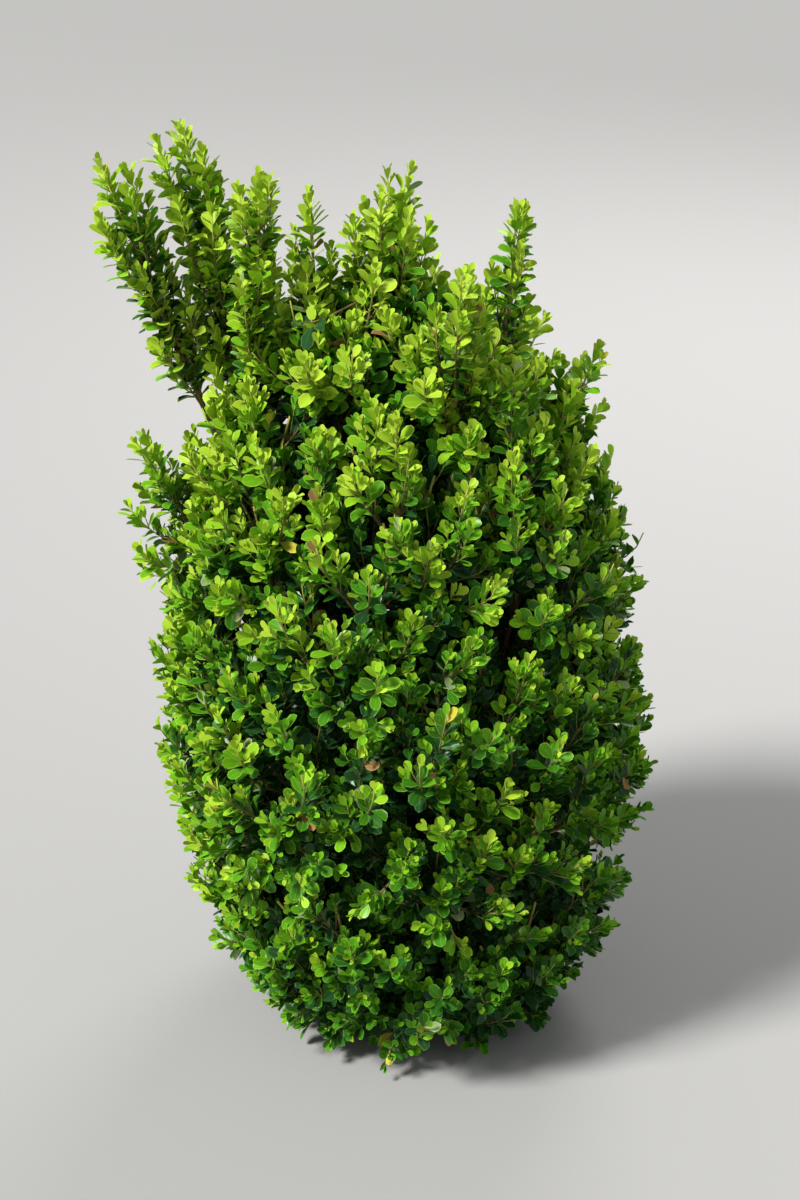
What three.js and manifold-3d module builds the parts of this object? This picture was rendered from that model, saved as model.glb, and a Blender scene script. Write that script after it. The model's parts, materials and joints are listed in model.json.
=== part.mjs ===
// A boxwood shrub, once clipped to an upright egg and now grown out at the top, rooted in level ground.
// Millimetres, +Z up. The origin is the middle of the flat cut under the main stem, and the front faces -Y.
// A short stem forks into upright boughs, and side boughs leave those. Each bough ends at a mass of foliage.
import * as THREE from "three";
import { mergeVertices } from "three/addons/utils/BufferGeometryUtils.js";
import Module from "manifold-3d";

const wasm = await Module();
wasm.setup();

// Driving dimensions of the crown
const HEIGHT = 876;
const GIRTH = 236;
const GIRTH_HEIGHT = 0.31 * HEIGHT;
const FOOT_REACH = 0.64 * GIRTH;
const DOME_HEIGHT = 0.85 * HEIGHT;
const CROWN_LEAN = -34;

// The main stem, and the boughs. A bough's two radii are at its start and its tip, spread is how far it
// leans out as it leaves, and pull is how long it keeps that direction, in shares of its reach.
const STEM_HEIGHT = 92;
const STEM_RADIUS = 19;
const FLARE_RADIUS = 33;
const FLARE_LOBES = 5;
const LOBE_DEPTH = 0.22;
const FORK_RADIUS = 23;
const STEM_LEAN = new THREE.Vector2(-3, 2);
const STEM_MESH = { sides: 15, steps: 7 };
const FORK_RING = 15.5;
const FORK_SINK = 12;
const FORK_STEP = 0.03;
const MAIN_BOUGH = { radii: [6.4, 3.4], spread: 0.45, pull: 0.36, sides: 5, steps: 5 };
const SIDE_BOUGH = { radii: [4.6, 2.8], spread: 0.8, pull: 0.36, sides: 5, steps: 3 };
const CREST_MASSES = ["crest_1", "crest_2", "crest_3", "crest_4"];
const MAIN_MASSES = [...CREST_MASSES, "spire_right", "spire_middle", "plume_middle"];

// Each leaf stands for a spray of some thirty real ones. Crossed pairs of them follow each other on a twig.
const LEAF_LENGTH = 56;
const LEAF_WIDTH = 39;
const LEAF_THICKNESS = 3;
const LEAF_THICKEST = 0.14;
const LEAF_WIDEST = 0.6;
const LEAF_ROOT = 0.03;
const LEAF_KEEL = 3;
const LEAF_SIZES = [1, 0.82, 0.66];
const LEAF_FACING = 1.1;
const PAIR_STEP = 26;
const PAIR_OFFSET = 7;
const CROWN_LEAVES = { size: 1, spread: 1.4, pairs: 2, apart: 15 };
const SHOOT_LEAVES = { size: 0.74, spread: 0.85, pairs: Infinity, apart: 8 };
const SPOT_SHARES = [0.35, 0.6, 0.85];
const FIRST_SEED = 101;
const SEED_STEP = 37;

// Twigs rise from a mass's stem, from behind their target, sag a little and turn up at the end
const CROWN_TARGETS = 95;
const TARGET_MOVES = [0.02, 0.1, 0.18, 0.26, 0.34];
const TWIG_BACK = 0.3;
const TWIG_FEET = [0.12, 0.74];
const TWIG_LIFT = 0.5;
const TWIG_SAG = 0.12;
const TWIG_PAIRS = 2;
const TWIG_ROOM = 4;
const TWIG_TIP_ROOM = 6;
const TWIG_RADII = [3, 2.4];
const MASS_STEM_RADII = [3, 2.4];
const FINEST_DETAIL = 0.25;
const FINEST_EDGE = 0.03;

// The cores stay behind the leaves, apart from each other, and round a shaft where the boughs rise
const CORE_DENT = 0.16;
const CORE_DEPTH = 62;
const CORE_WALL = 2;
const CORE_SHAFT = 34;
const CORE_MIDDLE = 0.52;
const CORE_STEP = 2;

// Room between the pieces
const JOINT_GAP = 0.3;
const SPACE_GAP = 1.2;
const GROUND_ROOM = 3;
const SPINE_STEP = 8;
const TIP_ROOM = 0.5;

const GOLDEN_ANGLE = Math.PI * (3 - Math.sqrt(5));
const UP = new THREE.Vector3(0, 0, 1);

const BARK = new THREE.MeshStandardMaterial({ color: 0x8a7358, roughness: 0.85, metalness: 0 });
const LEAF_GREENS = {
  skirt: new THREE.MeshStandardMaterial({ color: 0x2f6a1c, roughness: 0.45, metalness: 0 }),
  waist: new THREE.MeshStandardMaterial({ color: 0x3f7d22, roughness: 0.45, metalness: 0 }),
  crown: new THREE.MeshStandardMaterial({ color: 0x6fa62f, roughness: 0.45, metalness: 0 }),
};

// A generator of the same numbers from 0 to 1 every time, from one seed.
function seededRandom(seed) {
  let state = seed >>> 0;
  return () => {
    state = (Math.imul(state, 1664525) + 1013904223) >>> 0;
    return state / 4294967296;
  };
}

const degrees = (angle) => (angle * Math.PI) / 180;

function polar(radius, angle, z) {
  return new THREE.Vector3(radius * Math.cos(angle), radius * Math.sin(angle), z);
}

// How far the crown's axis has moved sideways at a height.
function crownShift(z) {
  return CROWN_LEAN * (z / HEIGHT) ** 2;
}

// The crown's radius at a height: a bowl below its girth and a dome above it.
function crownRadius(z) {
  if (z < GIRTH_HEIGHT) {
    const rise = Math.sin((Math.PI / 2) * Math.max(z / GIRTH_HEIGHT, 0));
    return FOOT_REACH + (GIRTH - FOOT_REACH) * rise ** 0.75;
  }
  const share = Math.min((z - GIRTH_HEIGHT) / (DOME_HEIGHT - GIRTH_HEIGHT), 1);
  return GIRTH * Math.sqrt(1 - share ** 2.5);
}

// Rings of masses that fill the clipped body, from the ground up. foot and tip are distance from the axis
// and height, angle is the first mass's, counted from +X, and core is its core's reach in radii.
const RINGS = [
  { name: "skirt", count: 5, angle: 36, foot: [8, 52], tip: [208, 112], radius: 108, core: 1.5 },
  { name: "waist", count: 5, angle: 0, foot: [84, 204], tip: [200, 396], radius: 102, core: 1.5 },
  { name: "shoulder", count: 6, angle: 30, foot: [92, 378], tip: [166, 588], radius: 82, core: 1.5 },
  { name: "crest", count: 4, angle: 45, foot: [46, 452], tip: [84, 700], radius: 56, core: 0 },
];
const RING_GREENS = { skirt: "skirt", waist: "waist", shoulder: "crown", crest: "crown" };
const CREST_TWIGS = 5;

// How far along its parent each kind of side bough forks off
const FORK_SHARES = { waist: 0.2, shoulder: 0.45, shoot: 0.62 };

// Long shoots that have outgrown the clipped body. foot and tip are points, twigs how many each grows.
const SHOOTS = [
  { name: "plume_left", foot: [-180, -2, 606], tip: [-264, -34, 854], radius: 34, twigs: 4 },
  { name: "plume_middle", foot: [-154, 26, 610], tip: [-196, 12, HEIGHT], radius: 33, twigs: 4 },
  { name: "plume_right", foot: [-136, -20, 600], tip: [-126, -46, 850], radius: 30, twigs: 3 },
  { name: "spire_left", foot: [-82, 2, 640], tip: [-88, 50, 804], radius: 27, twigs: 0 },
  { name: "spire_middle", foot: [-16, 2, 590], tip: [-20, 22, 836], radius: 44, twigs: 5 },
  { name: "spire_right", foot: [78, 2, 604], tip: [91, -36, 818], radius: 27, twigs: 0 },
  { name: "spur_right", foot: [118, -2, 540], tip: [170, 22, 670], radius: 38, twigs: 4 },
  { name: "spur_left", foot: [-168, -8, 452], tip: [-246, -30, 600], radius: 36, twigs: 4 },
  { name: "spur_front", foot: [34, -74, 580], tip: [42, -112, 782], radius: 30, twigs: 2 },
  { name: "spur_back", foot: [70, 66, 566], tip: [126, 92, 674], radius: 34, twigs: 3 },
];

function ringMasses(ring) {
  return Array.from({ length: ring.count }, (_, k) => {
    const angle = degrees(ring.angle) + (2 * Math.PI * k) / ring.count;
    const foot = polar(ring.foot[0], angle, ring.foot[1]);
    const tip = polar(ring.tip[0], angle, ring.tip[1]);
    tip.x += crownShift(tip.z);
    const name = `${ring.name}_${k + 1}`;
    const forkShare = FORK_SHARES[ring.name];
    const twigs = ring.name === "crest" ? CREST_TWIGS : 0;
    const green = RING_GREENS[ring.name];
    return { ...ring, name, foot, tip, forkShare, twigs, green, dome: true, blades: CROWN_LEAVES };
  });
}

function shootMass(shoot) {
  const foot = new THREE.Vector3(...shoot.foot);
  const tip = new THREE.Vector3(...shoot.tip);
  const forkShare = FORK_SHARES.shoot;
  return { ...shoot, foot, tip, forkShare, dome: false, core: 0, blades: SHOOT_LEAVES, green: "crown" };
}

const masses = [...RINGS.flatMap(ringMasses), ...SHOOTS.map(shootMass)];

// A mass's half width at a share of the way from its foot to its tip: a long barrel with round ends.
function reachAt(mass, share) {
  return mass.radius * Math.sqrt(Math.max(1 - Math.abs(2 * share - 1) ** 4, 0));
}

// Each mass owns the points that lie nearer to its own seeds than to any other's, as in a power diagram,
// so the walls between masses are planes.
const SEED_SHARES = [0.05, 0.35, 0.65, 0.95];
masses.forEach((mass, index) => {
  mass.index = index;
  mass.axis = mass.tip.clone().sub(mass.foot);
  mass.length = mass.axis.length();
  mass.direction = mass.axis.clone().normalize();
  mass.seeds = SEED_SHARES.map((share) => ({
    at: mass.foot.clone().addScaledVector(mass.axis, share),
    power: (0.8 * reachAt(mass, share)) ** 2,
  }));
});

function powerOf(seed, point) {
  return point.distanceToSquared(seed.at) - seed.power;
}

function ownSeed(mass, point) {
  return mass.seeds.reduce((best, seed) => (powerOf(seed, point) < powerOf(best, point) ? seed : best));
}

// How far a point is inside the walls round one of a mass's seeds.
function wallRoom(mass, own, point) {
  let room = Infinity;
  for (const other of masses) {
    if (other === mass) continue;
    for (const seed of other.seeds) {
      const apart = 2 * own.at.distanceTo(seed.at);
      room = Math.min(room, (powerOf(seed, point) - powerOf(own, point)) / apart);
    }
  }
  return room;
}

function shareOf(mass, point) {
  return point.clone().sub(mass.foot).dot(mass.direction) / mass.length;
}

function onAxis(mass, share) {
  return mass.foot.clone().addScaledVector(mass.axis, share);
}

// How far a point is inside the crown's skin, or inside a shoot's own outline.
function skinRoom(mass, point) {
  if (mass.dome) return crownRadius(point.z) - Math.hypot(point.x - crownShift(point.z), point.y);
  const share = shareOf(mass, point);
  if (share > 1) return (1 - share) * mass.length;
  return reachAt(mass, share) - point.distanceTo(onAxis(mass, share));
}

// Whether points that belong together lie in a mass's own space, so far inside its walls and its skin.
function holdsAll(mass, middle, points, wall = SPACE_GAP, depth = 0) {
  const own = ownSeed(mass, middle);
  return points.every(
    (point) => point.z > GROUND_ROOM && wallRoom(mass, own, point) > wall && skinRoom(mass, point) >= depth,
  );
}

// Wraps a straight cylinder round a curve, with its own radius at each share of the way and angle round it.
function wrapOnCurve(curve, radiusAt, sides, steps) {
  const geometry = new THREE.CylinderGeometry(1, 1, 1, sides, steps);
  const frames = curve.computeFrenetFrames(steps, false);
  const place = geometry.attributes.position;
  const corner = new THREE.Vector3();
  for (let i = 0; i < place.count; i++) {
    corner.fromBufferAttribute(place, i);
    const step = Math.round((corner.y + 0.5) * steps);
    const radius = radiusAt(step / steps, Math.atan2(corner.x, corner.z));
    const at = curve.getPointAt(step / steps);
    at.addScaledVector(frames.normals[step], corner.z * radius);
    at.addScaledVector(frames.binormals[step], corner.x * radius);
    place.setXYZ(i, at.x, at.y, at.z);
  }
  return geometry;
}

// A closed geometry as a solid, and a solid back as a geometry.
function toSolid(geometry) {
  const bare = new THREE.BufferGeometry().setAttribute("position", geometry.attributes.position);
  bare.setIndex(geometry.index);
  const merged = mergeVertices(bare, 1e-3);
  const mesh = new wasm.Mesh({
    numProp: 3,
    vertProperties: merged.attributes.position.array,
    triVerts: new Uint32Array(merged.index.array),
  });
  return new wasm.Manifold(mesh);
}

function toGeometry(solid) {
  const { vertProperties, triVerts } = solid.getMesh();
  const geometry = new THREE.BufferGeometry();
  geometry.setAttribute("position", new THREE.BufferAttribute(vertProperties, 3));
  geometry.setIndex(new THREE.BufferAttribute(triVerts, 1));
  geometry.computeVertexNormals();
  return geometry;
}

// The largest closed body of a solid: loose scraps are dropped, and sealed hollows are filled.
function largestBody(solid) {
  return solid.decompose().reduce((best, body) => (body.volume() > best.volume() ? body : best));
}

// A limb keeps its curve and its radius, so that it can be drawn at its own size or grown by a gap.
function makeLimb(name, curve, radiusAt, { sides, steps }) {
  const count = Math.ceil(curve.getLength() / SPINE_STEP);
  const spine = Array.from({ length: count + 1 }, (_, i) => ({
    at: curve.getPointAt(i / count),
    radius: radiusAt(i / count, 0),
  }));
  const grownBy = (gap) => {
    const grownRadius = (share, around) => radiusAt(share, around) + gap;
    return toSolid(wrapOnCurve(curve, grownRadius, sides, steps));
  };
  return { name, curve, spine, grownBy };
}

// The main stem: a flared foot that is cut flat at the ground, a lean, and a rounded head.
const stemTop = new THREE.Vector3(STEM_LEAN.x, STEM_LEAN.y, STEM_HEIGHT);
const stemCurve = new THREE.CubicBezierCurve3(
  new THREE.Vector3(),
  new THREE.Vector3(0, 0, STEM_HEIGHT / 3),
  new THREE.Vector3(STEM_LEAN.x, STEM_LEAN.y, (2 * STEM_HEIGHT) / 3),
  stemTop,
);

function stemRadius(share, around) {
  const lobes = 1 + LOBE_DEPTH * Math.cos(FLARE_LOBES * around);
  const flare = (FLARE_RADIUS - STEM_RADIUS) * (1 - share) ** 4 * lobes;
  const fork = (FORK_RADIUS - STEM_RADIUS) * THREE.MathUtils.smoothstep(share, 0.4, 0.8);
  const rounding = Math.sqrt(1 - 0.75 * THREE.MathUtils.smoothstep(share, 0.75, 1) ** 2);
  return (STEM_RADIUS + flare + fork) * rounding;
}

const stem = makeLimb("main_stem", stemCurve, stemRadius, STEM_MESH);
stem.solid = stem.grownBy(0);
const limbs = [stem];

function azimuthOf(point) {
  return Math.atan2(point.y, point.x);
}

function turnBetween(a, b) {
  const turn = azimuthOf(a) - azimuthOf(b);
  return Math.abs(Math.atan2(Math.sin(turn), Math.cos(turn)));
}

// The radius of a limb or a twig, from the one at its start to the one at its tip.
function taper([base, tip]) {
  return (share) => THREE.MathUtils.lerp(base, tip, share);
}

// A bough runs from its start to a mass's foot, and arrives there along the mass's own direction.
function growBough(start, leave, mass, kind) {
  const pull = start.distanceTo(mass.foot) * kind.pull;
  const curve = new THREE.CubicBezierCurve3(
    start,
    start.clone().addScaledVector(leave.normalize(), pull),
    mass.foot.clone().addScaledVector(mass.direction, -pull),
    mass.foot,
  );
  const bough = makeLimb(`bough_${mass.name}`, curve, taper(kind.radii), kind);
  const whole = bough.grownBy(0);
  bough.solid = largestBody(limbs.reduce((left, limb) => left.subtract(limb.grownBy(JOINT_GAP)), whole));
  bough.mass = mass;
  mass.bough = bough;
  limbs.push(bough);
  return bough;
}

// Main boughs leave the head of the stem in a ring, each on its own mass's side.
function growMainBough(name) {
  const mass = masses.find((one) => one.name === name);
  const angle = azimuthOf(mass.foot);
  const start = stemTop.clone().add(polar(FORK_RING, angle, -FORK_SINK));
  return growBough(start, polar(MAIN_BOUGH.spread, angle, 1), mass, MAIN_BOUGH);
}

// Side boughs leave the main bough that is nearest round the crown, each a little below the one before.
function growSideBough(mass) {
  const parent = mainBoughs.reduce((best, bough) =>
    turnBetween(bough.mass.foot, mass.foot) < turnBetween(best.mass.foot, mass.foot) ? bough : best,
  );
  parent.forks = (parent.forks ?? 0) + 1;
  const share = mass.forkShare - FORK_STEP * parent.forks;
  const leave = parent.curve.getTangentAt(share).add(polar(SIDE_BOUGH.spread, azimuthOf(mass.foot), 0));
  growBough(parent.curve.getPointAt(share), leave, mass, SIDE_BOUGH);
}

const mainBoughs = MAIN_MASSES.map(growMainBough);
masses.filter((mass) => !mass.bough && mass.forkShare).forEach(growSideBough);

// Whether points stand clear of every limb.
function clearOfLimbs(points) {
  return limbs.every(({ spine }) =>
    points.every((point) => spine.every(({ at, radius }) => point.distanceTo(at) > radius + SPINE_STEP / 2)),
  );
}

// Even targets over the crown's skin: bands of equal area by height, and the golden angle round it.
function crownTargets() {
  const rows = 120;
  const profile = Array.from({ length: rows + 1 }, (_, i) => {
    const z = THREE.MathUtils.lerp(GROUND_ROOM, DOME_HEIGHT, i / rows);
    return new THREE.Vector2(crownRadius(z), z);
  });
  const areas = [0];
  for (let i = 1; i <= rows; i++) {
    const band = (profile[i].x + profile[i - 1].x) * profile[i].distanceTo(profile[i - 1]);
    areas.push(areas[i - 1] + band);
  }
  return Array.from({ length: CROWN_TARGETS }, (_, k) => {
    const wanted = ((k + 0.5) / CROWN_TARGETS) * areas[rows];
    const { x: radius, y: z } = profile[areas.findIndex((area) => area >= wanted)];
    const target = polar(radius, k * GOLDEN_ANGLE, z);
    target.x += crownShift(z);
    return target;
  });
}

// Even targets round a shoot.
function shootTargets(mass) {
  const side = new THREE.Vector3(0, 1, 0).cross(mass.direction).normalize();
  return Array.from({ length: mass.twigs }, (_, k) => {
    const share = 0.2 + (0.7 * (k + 0.5)) / mass.twigs;
    const out = side.clone().applyAxisAngle(mass.direction, k * GOLDEN_ANGLE);
    return onAxis(mass, share).addScaledVector(out, reachAt(mass, share));
  });
}

function nearestMass(point) {
  const nearness = (mass) => powerOf(ownSeed(mass, point), point);
  return masses.reduce((best, mass) => (nearness(mass) < nearness(best) ? mass : best));
}

for (const mass of masses) mass.targets = mass.twigs ? shootTargets(mass) : [];
for (const target of crownTargets()) {
  const owner = nearestMass(target);
  if (owner.dome) owner.targets.push(target);
}

// A leaf: a keeled blade of eight faces with its root sunk behind a point on its twig. Its spots, three down
// the middle and one at each side, measure its distance from other leaves and from the limbs.
function makeLeaf(at, along, facing, size) {
  const side = along.clone().cross(facing).normalize();
  const turn = new THREE.Matrix4().makeBasis(side, along, side.clone().cross(along).normalize());
  const geometry = new THREE.OctahedronGeometry(1);
  const place = geometry.attributes.position;
  for (let i = 0; i < place.count; i++) {
    const [x, y, z] = [place.getX(i), place.getY(i), place.getZ(i)].map(Math.round);
    const [wide, thick] = [Math.abs(x), Math.abs(z)];
    const way = LEAF_WIDEST * wide + LEAF_THICKEST * thick + Math.max(y, 0) - LEAF_ROOT;
    place.setXYZ(i, (x * LEAF_WIDTH) / 2, way * LEAF_LENGTH, (z * LEAF_THICKNESS) / 2 + LEAF_KEEL * wide);
  }
  geometry.scale(size, size, size).applyMatrix4(turn.setPosition(at));
  const cornerAt = (_, i) => new THREE.Vector3().fromBufferAttribute(place, i);
  const corners = Array.from({ length: place.count }, cornerAt);
  const spots = SPOT_SHARES.map((way) => at.clone().addScaledVector(along, way * size * LEAF_LENGTH));
  const edgeAt = (hand) => spots[1].clone().addScaledVector(side, (hand * size * LEAF_WIDTH) / 2);
  spots.push(edgeAt(-1), edgeAt(1));
  return { geometry, corners, spots, middle: spots[1] };
}

// How far the tip of a twig's last leaf stands past the twig.
function leafReach(mass) {
  return mass.blades.size * LEAF_LENGTH * (1 - LEAF_ROOT);
}

function crowds(leaf, other, apart) {
  if (leaf.middle.distanceTo(other.middle) > 2 * LEAF_LENGTH) return false;
  return leaf.spots.some((spot) => other.spots.some((one) => one.distanceTo(spot) < apart));
}

// Adds a leaf to a mass, as large as stays in its space, clear of the limbs and of the other leaves.
function tryLeaf(mass, at, along, facing) {
  for (const size of LEAF_SIZES) {
    const leaf = makeLeaf(at, along.normalize(), facing, size * mass.blades.size);
    if (mass.leaves.some((other) => crowds(leaf, other, mass.blades.apart))) continue;
    if (!clearOfLimbs(leaf.spots) || !holdsAll(mass, leaf.middle, leaf.corners)) continue;
    if (mass.core && leaf.spots.some((spot) => skinRoom(mass, spot) > CORE_DEPTH)) continue;
    mass.leaves.push(leaf);
    return;
  }
}

function outwards(point) {
  return new THREE.Vector3(point.x - crownShift(point.z), point.y, 0).normalize();
}

// Leaves on a twig: one on its tip, and crossed pairs behind it. Their upper sides face the tip of the
// twig and the outside of the crown, or on a shoot either side in turn.
function addLeaves(mass, curve, pairs, random) {
  const length = curve.getLength();
  const tip = curve.getPointAt(1);
  const end = curve.getTangentAt(1);
  const side = new THREE.Vector3(-end.y, end.x, 0).normalize().applyAxisAngle(end, random() - 0.5);
  tryLeaf(mass, tip, end.clone(), side.clone().cross(end));
  for (let k = 0; k < pairs; k++) {
    for (const hand of [-1, 1]) {
      const back = mass.blades.size * (PAIR_STEP * (k + 0.3) + (PAIR_OFFSET * (hand + 1)) / 2);
      const share = 1 - back / length;
      if (share < 0.1) return;
      const run = curve.getTangentAt(share);
      const out = mass.dome ? outwards(tip) : side.clone().cross(run).multiplyScalar(hand);
      const facing = run.clone().addScaledVector(out, LEAF_FACING);
      tryLeaf(mass, curve.getPointAt(share), run.addScaledVector(side, hand * mass.blades.spread), facing);
    }
    side.applyAxisAngle(end, Math.PI / 2);
  }
}

// A twig rises from the mass's stem towards a target and turns up at its end. Where it would leave the
// space, the target is moved towards the mass's own tip and tried again.
function tryTwig(mass, target, random) {
  const footShare = THREE.MathUtils.clamp(shareOf(mass, target) - TWIG_BACK, ...TWIG_FEET);
  const foot = onAxis(mass, footShare);
  for (const move of TARGET_MOVES) {
    const leafTip = target.clone().lerp(mass.tip, move);
    const lift = leafTip.clone().sub(foot).normalize().addScaledVector(UP, TWIG_LIFT).normalize();
    const tip = leafTip.clone().addScaledVector(lift, -leafReach(mass));
    const elbow = foot.clone().lerp(tip, 0.5).addScaledVector(UP, -TWIG_SAG * foot.distanceTo(tip));
    const curve = new THREE.QuadraticBezierCurve3(foot, elbow, tip);
    const path = curve.getPoints(6).slice(1);
    if (!holdsAll(mass, tip, [tip, leafTip], TWIG_TIP_ROOM) || !clearOfLimbs(path)) continue;
    if (!path.every((point) => holdsAll(mass, point, [point], TWIG_ROOM))) continue;
    mass.twigCurves.push(curve);
    addLeaves(mass, curve, TWIG_PAIRS, random);
    return;
  }
}

// The core fills the inside of a mass: each of its corners moves out from the middle until it meets a wall,
// the depth under the skin, or the shaft, and is then dented a little.
function makeCore(mass, random) {
  const ball = new THREE.IcosahedronGeometry(1, 1);
  ball.deleteAttribute("normal");
  ball.deleteAttribute("uv");
  const geometry = mergeVertices(ball);
  const middle = onAxis(mass, CORE_MIDDLE);
  const place = geometry.attributes.position;
  const out = new THREE.Vector3();
  for (let i = 0; i < place.count; i++) {
    out.fromBufferAttribute(place, i);
    const next = middle.clone().addScaledVector(out, CORE_STEP);
    let reach = 0;
    while (reach < mass.core * mass.radius && fitsCore(mass, next)) {
      reach += CORE_STEP;
      next.addScaledVector(out, CORE_STEP);
    }
    out.multiplyScalar(reach * (1 - CORE_DENT * random())).add(middle);
    place.setXYZ(i, out.x, out.y, out.z);
  }
  return toSolid(geometry);
}

function fitsCore(mass, point) {
  const shaft = Math.hypot(point.x - crownShift(point.z), point.y);
  return shaft > CORE_SHAFT && holdsAll(mass, point, [point], CORE_WALL, CORE_DEPTH);
}

function growMass(mass) {
  const random = seededRandom(FIRST_SEED + SEED_STEP * mass.index);
  mass.leaves = [];
  mass.twigCurves = [];
  const start = mass.foot.clone().addScaledVector(mass.direction, JOINT_GAP);
  const leader = new THREE.LineCurve3(start, onAxis(mass, 1 - (leafReach(mass) + TIP_ROOM) / mass.length));
  addLeaves(mass, leader, mass.blades.pairs, random);
  for (const target of mass.targets) tryTwig(mass, target, random);

  const pieces = [
    ...mass.twigCurves.map((curve) => toSolid(wrapOnCurve(curve, taper(TWIG_RADII), 3, 2))),
    ...mass.leaves.map((leaf) => toSolid(leaf.geometry)),
    ...(mass.core ? [makeCore(mass, random)] : []),
  ];
  const spine = toSolid(wrapOnCurve(leader, taper(MASS_STEM_RADII), 4, 1));
  const whole = pieces.reduce((joined, piece) => joined.add(piece), spine);
  const plain = whole.asOriginal().simplify(FINEST_DETAIL);
  const cut = limbs.reduce((left, limb) => left.subtract(limb.grownBy(JOINT_GAP)), plain);
  return largestBody(cut.asOriginal().simplify(FINEST_EDGE));
}

function makeNode(name, solid, material) {
  const mesh = new THREE.Mesh(toGeometry(solid), material);
  mesh.name = name;
  return mesh;
}

const shrub = new THREE.Group();
shrub.name = "boxwood_shrub";
for (const limb of limbs) shrub.add(makeNode(limb.name, limb.solid, BARK));
for (const mass of masses) {
  shrub.add(makeNode(`foliage_${mass.name}`, growMass(mass), LEAF_GREENS[mass.green]));
}

export default shrub;
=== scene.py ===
"""A boxwood shrub, once clipped to an upright egg and now grown out at the top, with its bark and leaves.

Sizes are in millimetres in the crown's own frame, +Z up with the front towards -Y, and become metres where
a mesh is made. The limbs follow the same rule as the solids. Sprays of leafy twigs grow on from them.
"""

import json
import logging
import math
from dataclasses import dataclass, field
from enum import Enum

import bpy
import numpy as np
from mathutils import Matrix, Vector

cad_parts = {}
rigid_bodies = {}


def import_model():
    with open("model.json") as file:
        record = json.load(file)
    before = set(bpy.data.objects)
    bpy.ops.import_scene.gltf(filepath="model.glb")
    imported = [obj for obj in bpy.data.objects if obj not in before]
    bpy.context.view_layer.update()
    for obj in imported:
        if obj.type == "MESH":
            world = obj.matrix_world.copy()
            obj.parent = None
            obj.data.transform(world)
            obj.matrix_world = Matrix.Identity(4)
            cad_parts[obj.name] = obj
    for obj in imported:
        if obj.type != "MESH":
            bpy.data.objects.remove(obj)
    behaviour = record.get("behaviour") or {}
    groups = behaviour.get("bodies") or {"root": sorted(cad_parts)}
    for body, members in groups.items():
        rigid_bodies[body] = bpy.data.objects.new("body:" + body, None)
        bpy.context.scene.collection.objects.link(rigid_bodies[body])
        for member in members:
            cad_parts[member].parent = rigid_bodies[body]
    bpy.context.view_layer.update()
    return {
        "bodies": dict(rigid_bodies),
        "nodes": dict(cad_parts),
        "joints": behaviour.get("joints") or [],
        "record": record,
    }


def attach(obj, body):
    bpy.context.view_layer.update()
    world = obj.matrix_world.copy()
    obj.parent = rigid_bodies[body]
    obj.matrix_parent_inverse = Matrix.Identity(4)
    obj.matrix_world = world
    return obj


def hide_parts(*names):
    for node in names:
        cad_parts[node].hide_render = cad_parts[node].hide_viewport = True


MM = 0.001
UP = np.array([0.0, 0.0, 1.0])
GOLDEN_ANGLE = math.pi * (3 - math.sqrt(5))
LOG = logging.getLogger("boxwood")

# Leaves and twigs have a map of their own. The leaves' map has square cells, each with its own tone.
BLADE_MAP = "OFBake"
MAP_CELLS = 4
CELL_MARGIN = 0.02
# What scatters the cells' tones: a number for the column, one for the row, and a factor for their wave.
TONE_SCATTER = (1.37, 2.91, 43.7)
# Added to a vector that could be too short to point anywhere.
TINY = 1e-9
NUDGE = 1e-3
# A line that runs more along X than this is turned round from Y instead.
NEAR_X = 0.8
# A curve is worked out this many times finer than it is kept.
CURVE_FINENESS = 4
LUMP_WAVES = 6
LUMP_LENGTHS = (1.2, 2.4)


def unit(vectors: np.ndarray) -> np.ndarray:
    """Returns vectors scaled to length one along the last axis."""
    length = np.linalg.norm(vectors, axis=-1, keepdims=True)
    return vectors / np.maximum(length, TINY)


def polar(radius: float, angle: float, z: float) -> np.ndarray:
    """Returns the point at a distance from the Z axis, an angle from +X and a height."""
    return np.array([radius * math.cos(angle), radius * math.sin(angle), z])


def smoothstep(x: np.ndarray | float, low: float, high: float) -> np.ndarray:
    """Returns 0 below low, 1 above high and a smooth rise between."""
    t = np.clip((np.asarray(x, float) - low) / (high - low), 0, 1)
    return t * t * (3 - 2 * t)


def bezier(corners: list[np.ndarray], count: int) -> np.ndarray:
    """Samples a Bezier curve at even steps of its length.

    Args:
        corners: Three or four control points.
        count: Number of points.

    Returns:
        The points, as an array of count rows.
    """
    t = np.linspace(0, 1, CURVE_FINENESS * count)[:, None]
    rows = np.array(corners)[:, None]
    while len(rows) > 1:
        rows = rows[:-1] * (1 - t) + rows[1:] * t
    return resample(rows[0], np.linspace(0, 1, count))


def resample(line: np.ndarray, shares: np.ndarray) -> np.ndarray:
    """Returns the points of a line at shares of its length.

    Args:
        line: The line's points, one a row.
        shares: Shares of the length, from 0 to 1.

    Returns:
        One point for each share.
    """
    steps = np.linalg.norm(np.diff(line, axis=0), axis=1)
    way = np.concatenate([[0], np.cumsum(steps)])
    at = np.asarray(shares) * way[-1]
    return np.stack([np.interp(at, way, line[:, k]) for k in range(3)], axis=1)


def tangents(line: np.ndarray) -> np.ndarray:
    """Returns the direction of a line at each of its points."""
    return unit(np.gradient(line, axis=-2))


def length_of(line: np.ndarray) -> float:
    """Returns the length of a line of points."""
    return float(np.linalg.norm(np.diff(line, axis=0), axis=1).sum())


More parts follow.
